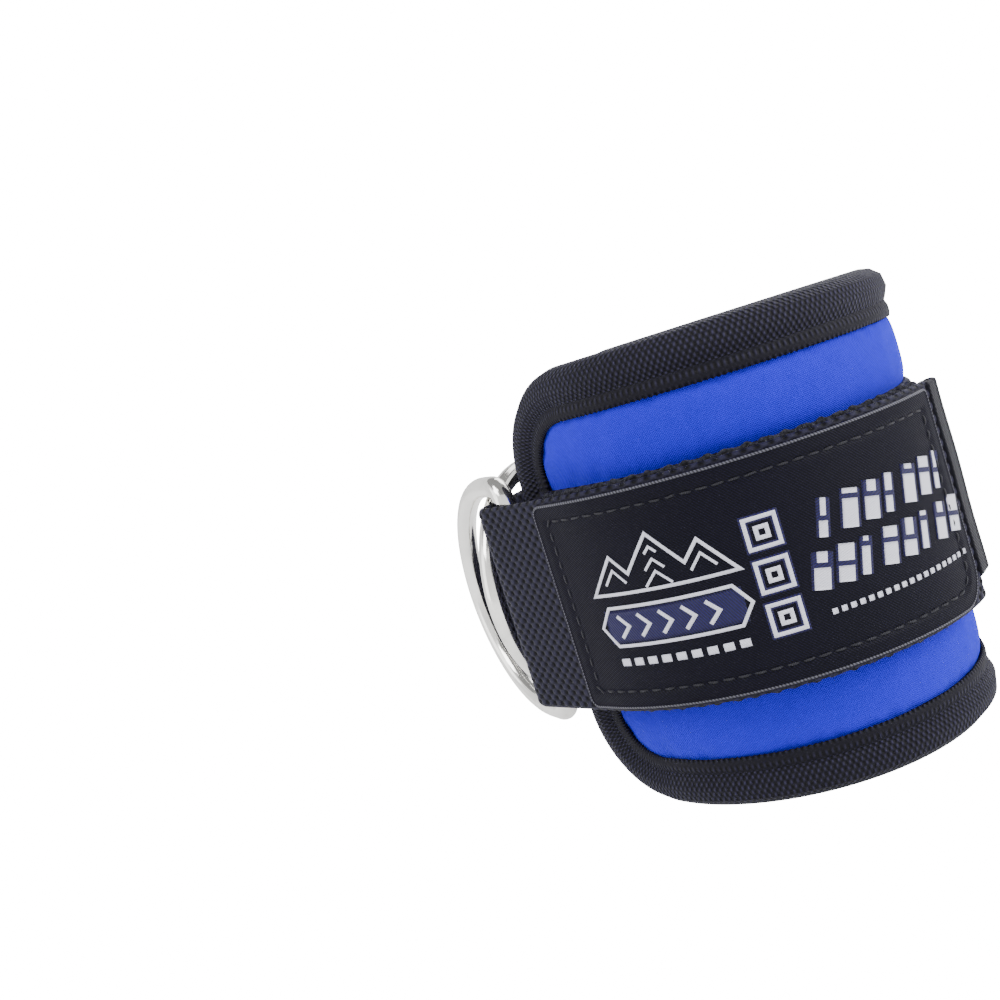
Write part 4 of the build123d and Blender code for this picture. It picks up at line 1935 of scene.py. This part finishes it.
@dataclass
class Label:
    """Woven satin label with folded edges, its raised pattern, a painted highlight line along the fold, and
    its stitches.
    """

    strap: ClosingStrap
    fold: float = 3.6
    fold_rise: float = 0.30
    round_edge: float = 0.5
    pucker: float = 0.17
    waviness: float = 0.10
    stitch: float = 3.2
    outline: RoundedOutline = field(init=False)

    def __post_init__(self) -> None:
        """Works out the label's edge on the tail."""
        sizes = self.strap.sizes
        left = self.strap.before_tail(sizes.label_straight)
        right = self.strap.tail_at(sizes.label_start)
        half = sizes.label_half
        self.outline = RoundedOutline(left, right, -half, half, (2.5, 1.5, 8.0, 2.5))

    def face(self, s: Array, z: Array) -> Array:
        """The label's upper face.

        Args:
            s: Distances along the strap.
            z: Heights.

        Returns:
            The label's thickness, rounded at the edge, a raised fold, a groove at the
            stitches with a pucker at each, and shallow waves inside.
        """
        sizes = self.strap.sizes
        depth = self.outline.depth(s, z)
        edge = np.sqrt(np.clip(1 - (1 - np.clip(depth / self.round_edge, 0, 1)) ** 2, 0, 1))
        folded = self.fold_rise * (1 - smooth((depth - self.fold + 0.5) / 0.8))
        seam = np.exp(-((depth - sizes.label_seam) / 0.5) ** 2)
        beat = 0.5 * np.cos(TURN * s / self.stitch) + 0.5 * np.cos(TURN * z / self.stitch)
        pucker = self.pucker * seam * (1 + beat)
        inside = smooth((depth - 5) / 6)
        wave = self.waviness * inside * np.sin(s / 7.3 + 0.6 * np.sin(z / 8.0)) * np.cos(z / 12.0 + s / 31.0)
        flat = sizes.webbing / 2 + 0.05
        return flat + edge * (sizes.label - 0.25 + folded) - pucker + wave

    def build(self) -> None:
        """Makes the label, its pattern and its stitches."""
        sizes = self.strap.sizes
        track = self.strap.track
        shell = ShellMesh()
        OutlineSheet(track, self.outline, 0.0, self.face, flat_at(sizes.webbing / 2 - 0.1),
                     0.55, 101).add_to(shell)
        settle(shell.make("label_satin_patch"), LABEL_SATIN, "tail", ["label_patch"])
        row = ShellMesh()
        loop = RoundedOutline(self.outline.left + sizes.label_seam, self.outline.right - sizes.label_seam,
                              self.outline.low + sizes.label_seam, self.outline.high - sizes.label_seam,
                              (1.0, 1.0, 5.0, 1.0)).loop()
        StitchRow(track, loop, 0.0, self.face, self.stitch, 2.6, 0.6, 0.26, seed=61).add_to(row)
        settle(row.make("label_stitches"), BLACK_THREAD, "tail", ["label_stitching"])
        self.weave()

    def weave(self) -> None:
        """Raises each woven line: a half round of thread along it; the line round the fold's outer edge is a
        painted highlight.
        """
        inks = {Ink.WHITE: ("label_pattern_white", WHITE_THREAD, 0.14, 0.07),
                Ink.NAVY: ("label_pattern_navy", NAVY_THREAD, 0.07, 0.03),
                Ink.EDGE: ("label_fold_highlight", FOLD_HIGHLIGHT_THREAD, 0.10, 0.04)}
        outline = self.outline
        # Painted highlight: a thin light line just inside the label's outer edge, where light catches the
        # fold.
        rim = RoundedOutline(0.4, outline.right - outline.left - 0.4, 0.4, outline.high - outline.low - 0.4,
                             (2.1, 1.1, 7.6, 2.1)).loop()
        corners = rim.at(spaced(0, rim.length, 0.9)[:-1])[0]
        edge = Stroke(tuple(map(tuple, corners)), 0.26, Ink.EDGE, True)
        turn = np.radians(np.linspace(0, 360, 8, endpoint=False))
        for ink, (name, finish, height, rest) in inks.items():
            shell = ShellMesh()
            for stroke in (shape for shape in [*woven_shapes(), edge] if shape.ink is ink):
                points, side = stroke.corners()
                width = stroke.half * np.cos(turn)
                flat = points[:, None] + side[:, None] * width[None, :, None]
                s = self.outline.left + flat[..., 0]
                z = self.outline.low + flat[..., 1]
                up = np.clip(np.sin(turn) * 1.6, -0.6, 1.0) * height + rest
                run = np.concatenate([[0], np.cumsum(np.linalg.norm(np.diff(points, axis=0), axis=1))])
                uv = np.stack(np.meshgrid(run, np.append(width, width[0]), indexing="ij"), -1)
                grid = self.strap.track.lay(s, z, self.face(s, z) + up[None])
                if stroke.closed:
                    grid = grid[:-1]
                shell.add(grid, uv, wrap_rows=stroke.closed)
            settle(shell.make(name), finish, "tail")


# --- studio --------------------------------------------------------------------------------
@dataclass(frozen=True)
class Viewpoint:
    """Where the camera stands and how it is turned; angles in degrees, lengths in metres."""

    azimuth: float = 97.4
    elevation: float = 10.1
    roll: float = -16.3
    distance: float = 0.296
    lens: float = 43.8
    sensor: float = 36.0
    right: float = 0.249
    down: float = 0.029

    def place(self) -> bpy.types.Object:
        """Makes the camera.

        Returns:
            The camera, with the object's middle off the frame's middle by right and down.
        """
        azimuth, elevation, roll = (math.radians(v) for v in (self.azimuth, self.elevation, self.roll))
        back = Vector((math.sin(azimuth) * math.cos(elevation), -math.cos(azimuth) * math.cos(elevation),
                       math.sin(elevation)))
        right = (-back).cross(Vector((0, 0, 1))).normalized()
        up = right.cross(-back)
        level = math.cos(roll) * right + math.sin(roll) * up
        upright = -math.sin(roll) * right + math.cos(roll) * up
        facing = Matrix((level, upright, back)).transposed()
        aim = Vector((self.right, -self.down, -self.lens / self.sensor)).normalized()
        swing = Vector((0, 0, -1)).rotation_difference(aim).to_matrix()
        turned = facing @ swing.transposed()
        camera = bpy.data.objects.new("camera", bpy.data.cameras.new("camera"))
        camera.data.lens = self.lens
        camera.data.sensor_width = self.sensor
        camera.data.clip_start = 0.01
        camera.matrix_world = Matrix.Translation(back * self.distance) @ turned.to_4x4()
        bpy.context.collection.objects.link(camera)
        bpy.context.scene.camera = camera
        return camera


@dataclass(frozen=True)
class SoftLight:
    """A square lamp aimed at the cuff."""

    name: str
    place: tuple[float, float, float]
    size: float
    watts: float
    colour: Colour = (1.0, 1.0, 1.0)

    def make(self) -> None:
        """Makes the lamp."""
        data = bpy.data.lights.new(self.name, "AREA")
        data.size, data.energy, data.color = self.size, self.watts, self.colour
        lamp = bpy.data.objects.new(self.name, data)
        lamp.location = self.place
        lamp.rotation_mode = "QUATERNION"
        lamp.rotation_quaternion = (-Vector(self.place)).to_track_quat("-Z", "Y")
        bpy.context.collection.objects.link(lamp)


@dataclass
class Studio:
    """A pale round cove, even light from all round, a few soft lamps and the camera."""

    floor: float = -50.5
    flat_radius: float = 900.0
    wall_radius: float = 1700.0
    wall_height: float = 1500.0
    glow: float = 0.22
    mirrored_glow: float = 0.55
    seen_glow: float = 16.0
    surround: float = 0.35
    lamps: tuple[SoftLight, ...] = (
        SoftLight("key_light", (0.50, -0.45, 0.75), 0.5, 6.0),
        SoftLight("rim_light", (0.10, 0.80, 0.45), 0.5, 9.0),
        SoftLight("front_light", (0.35, -0.85, 0.25), 0.6, 2.0),
        SoftLight("back_light", (-0.8, 0.2, 0.7), 0.6, 4.0),
    )

    def build(self) -> None:
        """Makes the cove, the world, the lamps and the camera."""
        t = np.linspace(0, 1, 40)
        rise = np.clip((t - 0.5) / 0.5, 0, 1) ** 2
        swing = np.sin(np.clip((t - 0.5) / 0.5, 0, 1) * math.pi / 2)
        radius = 1.0 + self.flat_radius * np.minimum(t / 0.5, 1)
        radius = radius + (self.wall_radius - self.flat_radius) * swing
        turn = np.linspace(0, TURN, 96, endpoint=False)
        x = radius[:, None] * np.cos(turn)[None]
        y = radius[:, None] * np.sin(turn)[None]
        z = np.broadcast_to((self.floor + self.wall_height * rise)[:, None], x.shape)
        points = np.stack([x, y, z], -1)
        pairs = grid_faces(len(t), len(turn), False, True)
        quads = pairs[..., 0] * len(turn) + pairs[..., 1] % len(turn)
        mesh = bpy.data.meshes.new("studio_cove")
        faces = quads[:, ::-1].tolist() + [list(range(len(turn)))]
        mesh.from_pydata((points.reshape(-1, 3) * MM).tolist(), [], faces)
        mesh.polygons.foreach_set("use_smooth", np.ones(len(mesh.polygons), bool))
        cove = bpy.data.objects.new("studio_cove", mesh)
        bpy.context.collection.objects.link(cove)
        graph = Graph("studio_paper")
        mottle = graph.noise(0.004, 2.0)
        seen = graph.node("ShaderNodeLightPath", output="Is Camera Ray")
        mirrored = graph.node("ShaderNodeLightPath", output="Is Glossy Ray")
        mesh.materials.append(graph.shade(
            Base_Color=graph.mix(mottle, (0.70, 0.70, 0.70), (0.74, 0.74, 0.74)),
            Roughness=0.9,
            Emission_Color=(1.0, 1.0, 1.0),
            Emission_Strength=seen * self.seen_glow + mirrored * self.mirrored_glow + self.glow,
        ))
        world = bpy.data.worlds.new("soft_surround")
        world.use_nodes = True
        background = world.node_tree.nodes["Background"]
        background.inputs["Color"].default_value = (1.0, 1.0, 1.0, 1.0)
        background.inputs["Strength"].default_value = self.surround
        bpy.context.scene.world = world
        for lamp in self.lamps:
            lamp.make()
        Viewpoint().place()


def main() -> None:
    """Builds the studio and each sub-assembly in order."""
    logging.basicConfig(level=logging.INFO, format="%(name)s %(message)s")
    Studio().build()
    pad = Pad(SIZES)
    pad.fill_out()
    pad.build()
    binding = EdgeBinding(pad)
    binding.build()
    binding.stitch()
    BaseStrap(pad).build()
    RingKeepers(pad).build()
    DRing(SIZES, "label_side", "label_ring", 1.0, 180 + SIZES.label_ring_angle).build()
    DRing(SIZES, "plain_side", "plain_ring", -1.0, -SIZES.plain_ring_angle).build()
    strap = ClosingStrap(SIZES)
    strap.build()
    Label(strap).build()


if __name__ == "__main__":
    main()
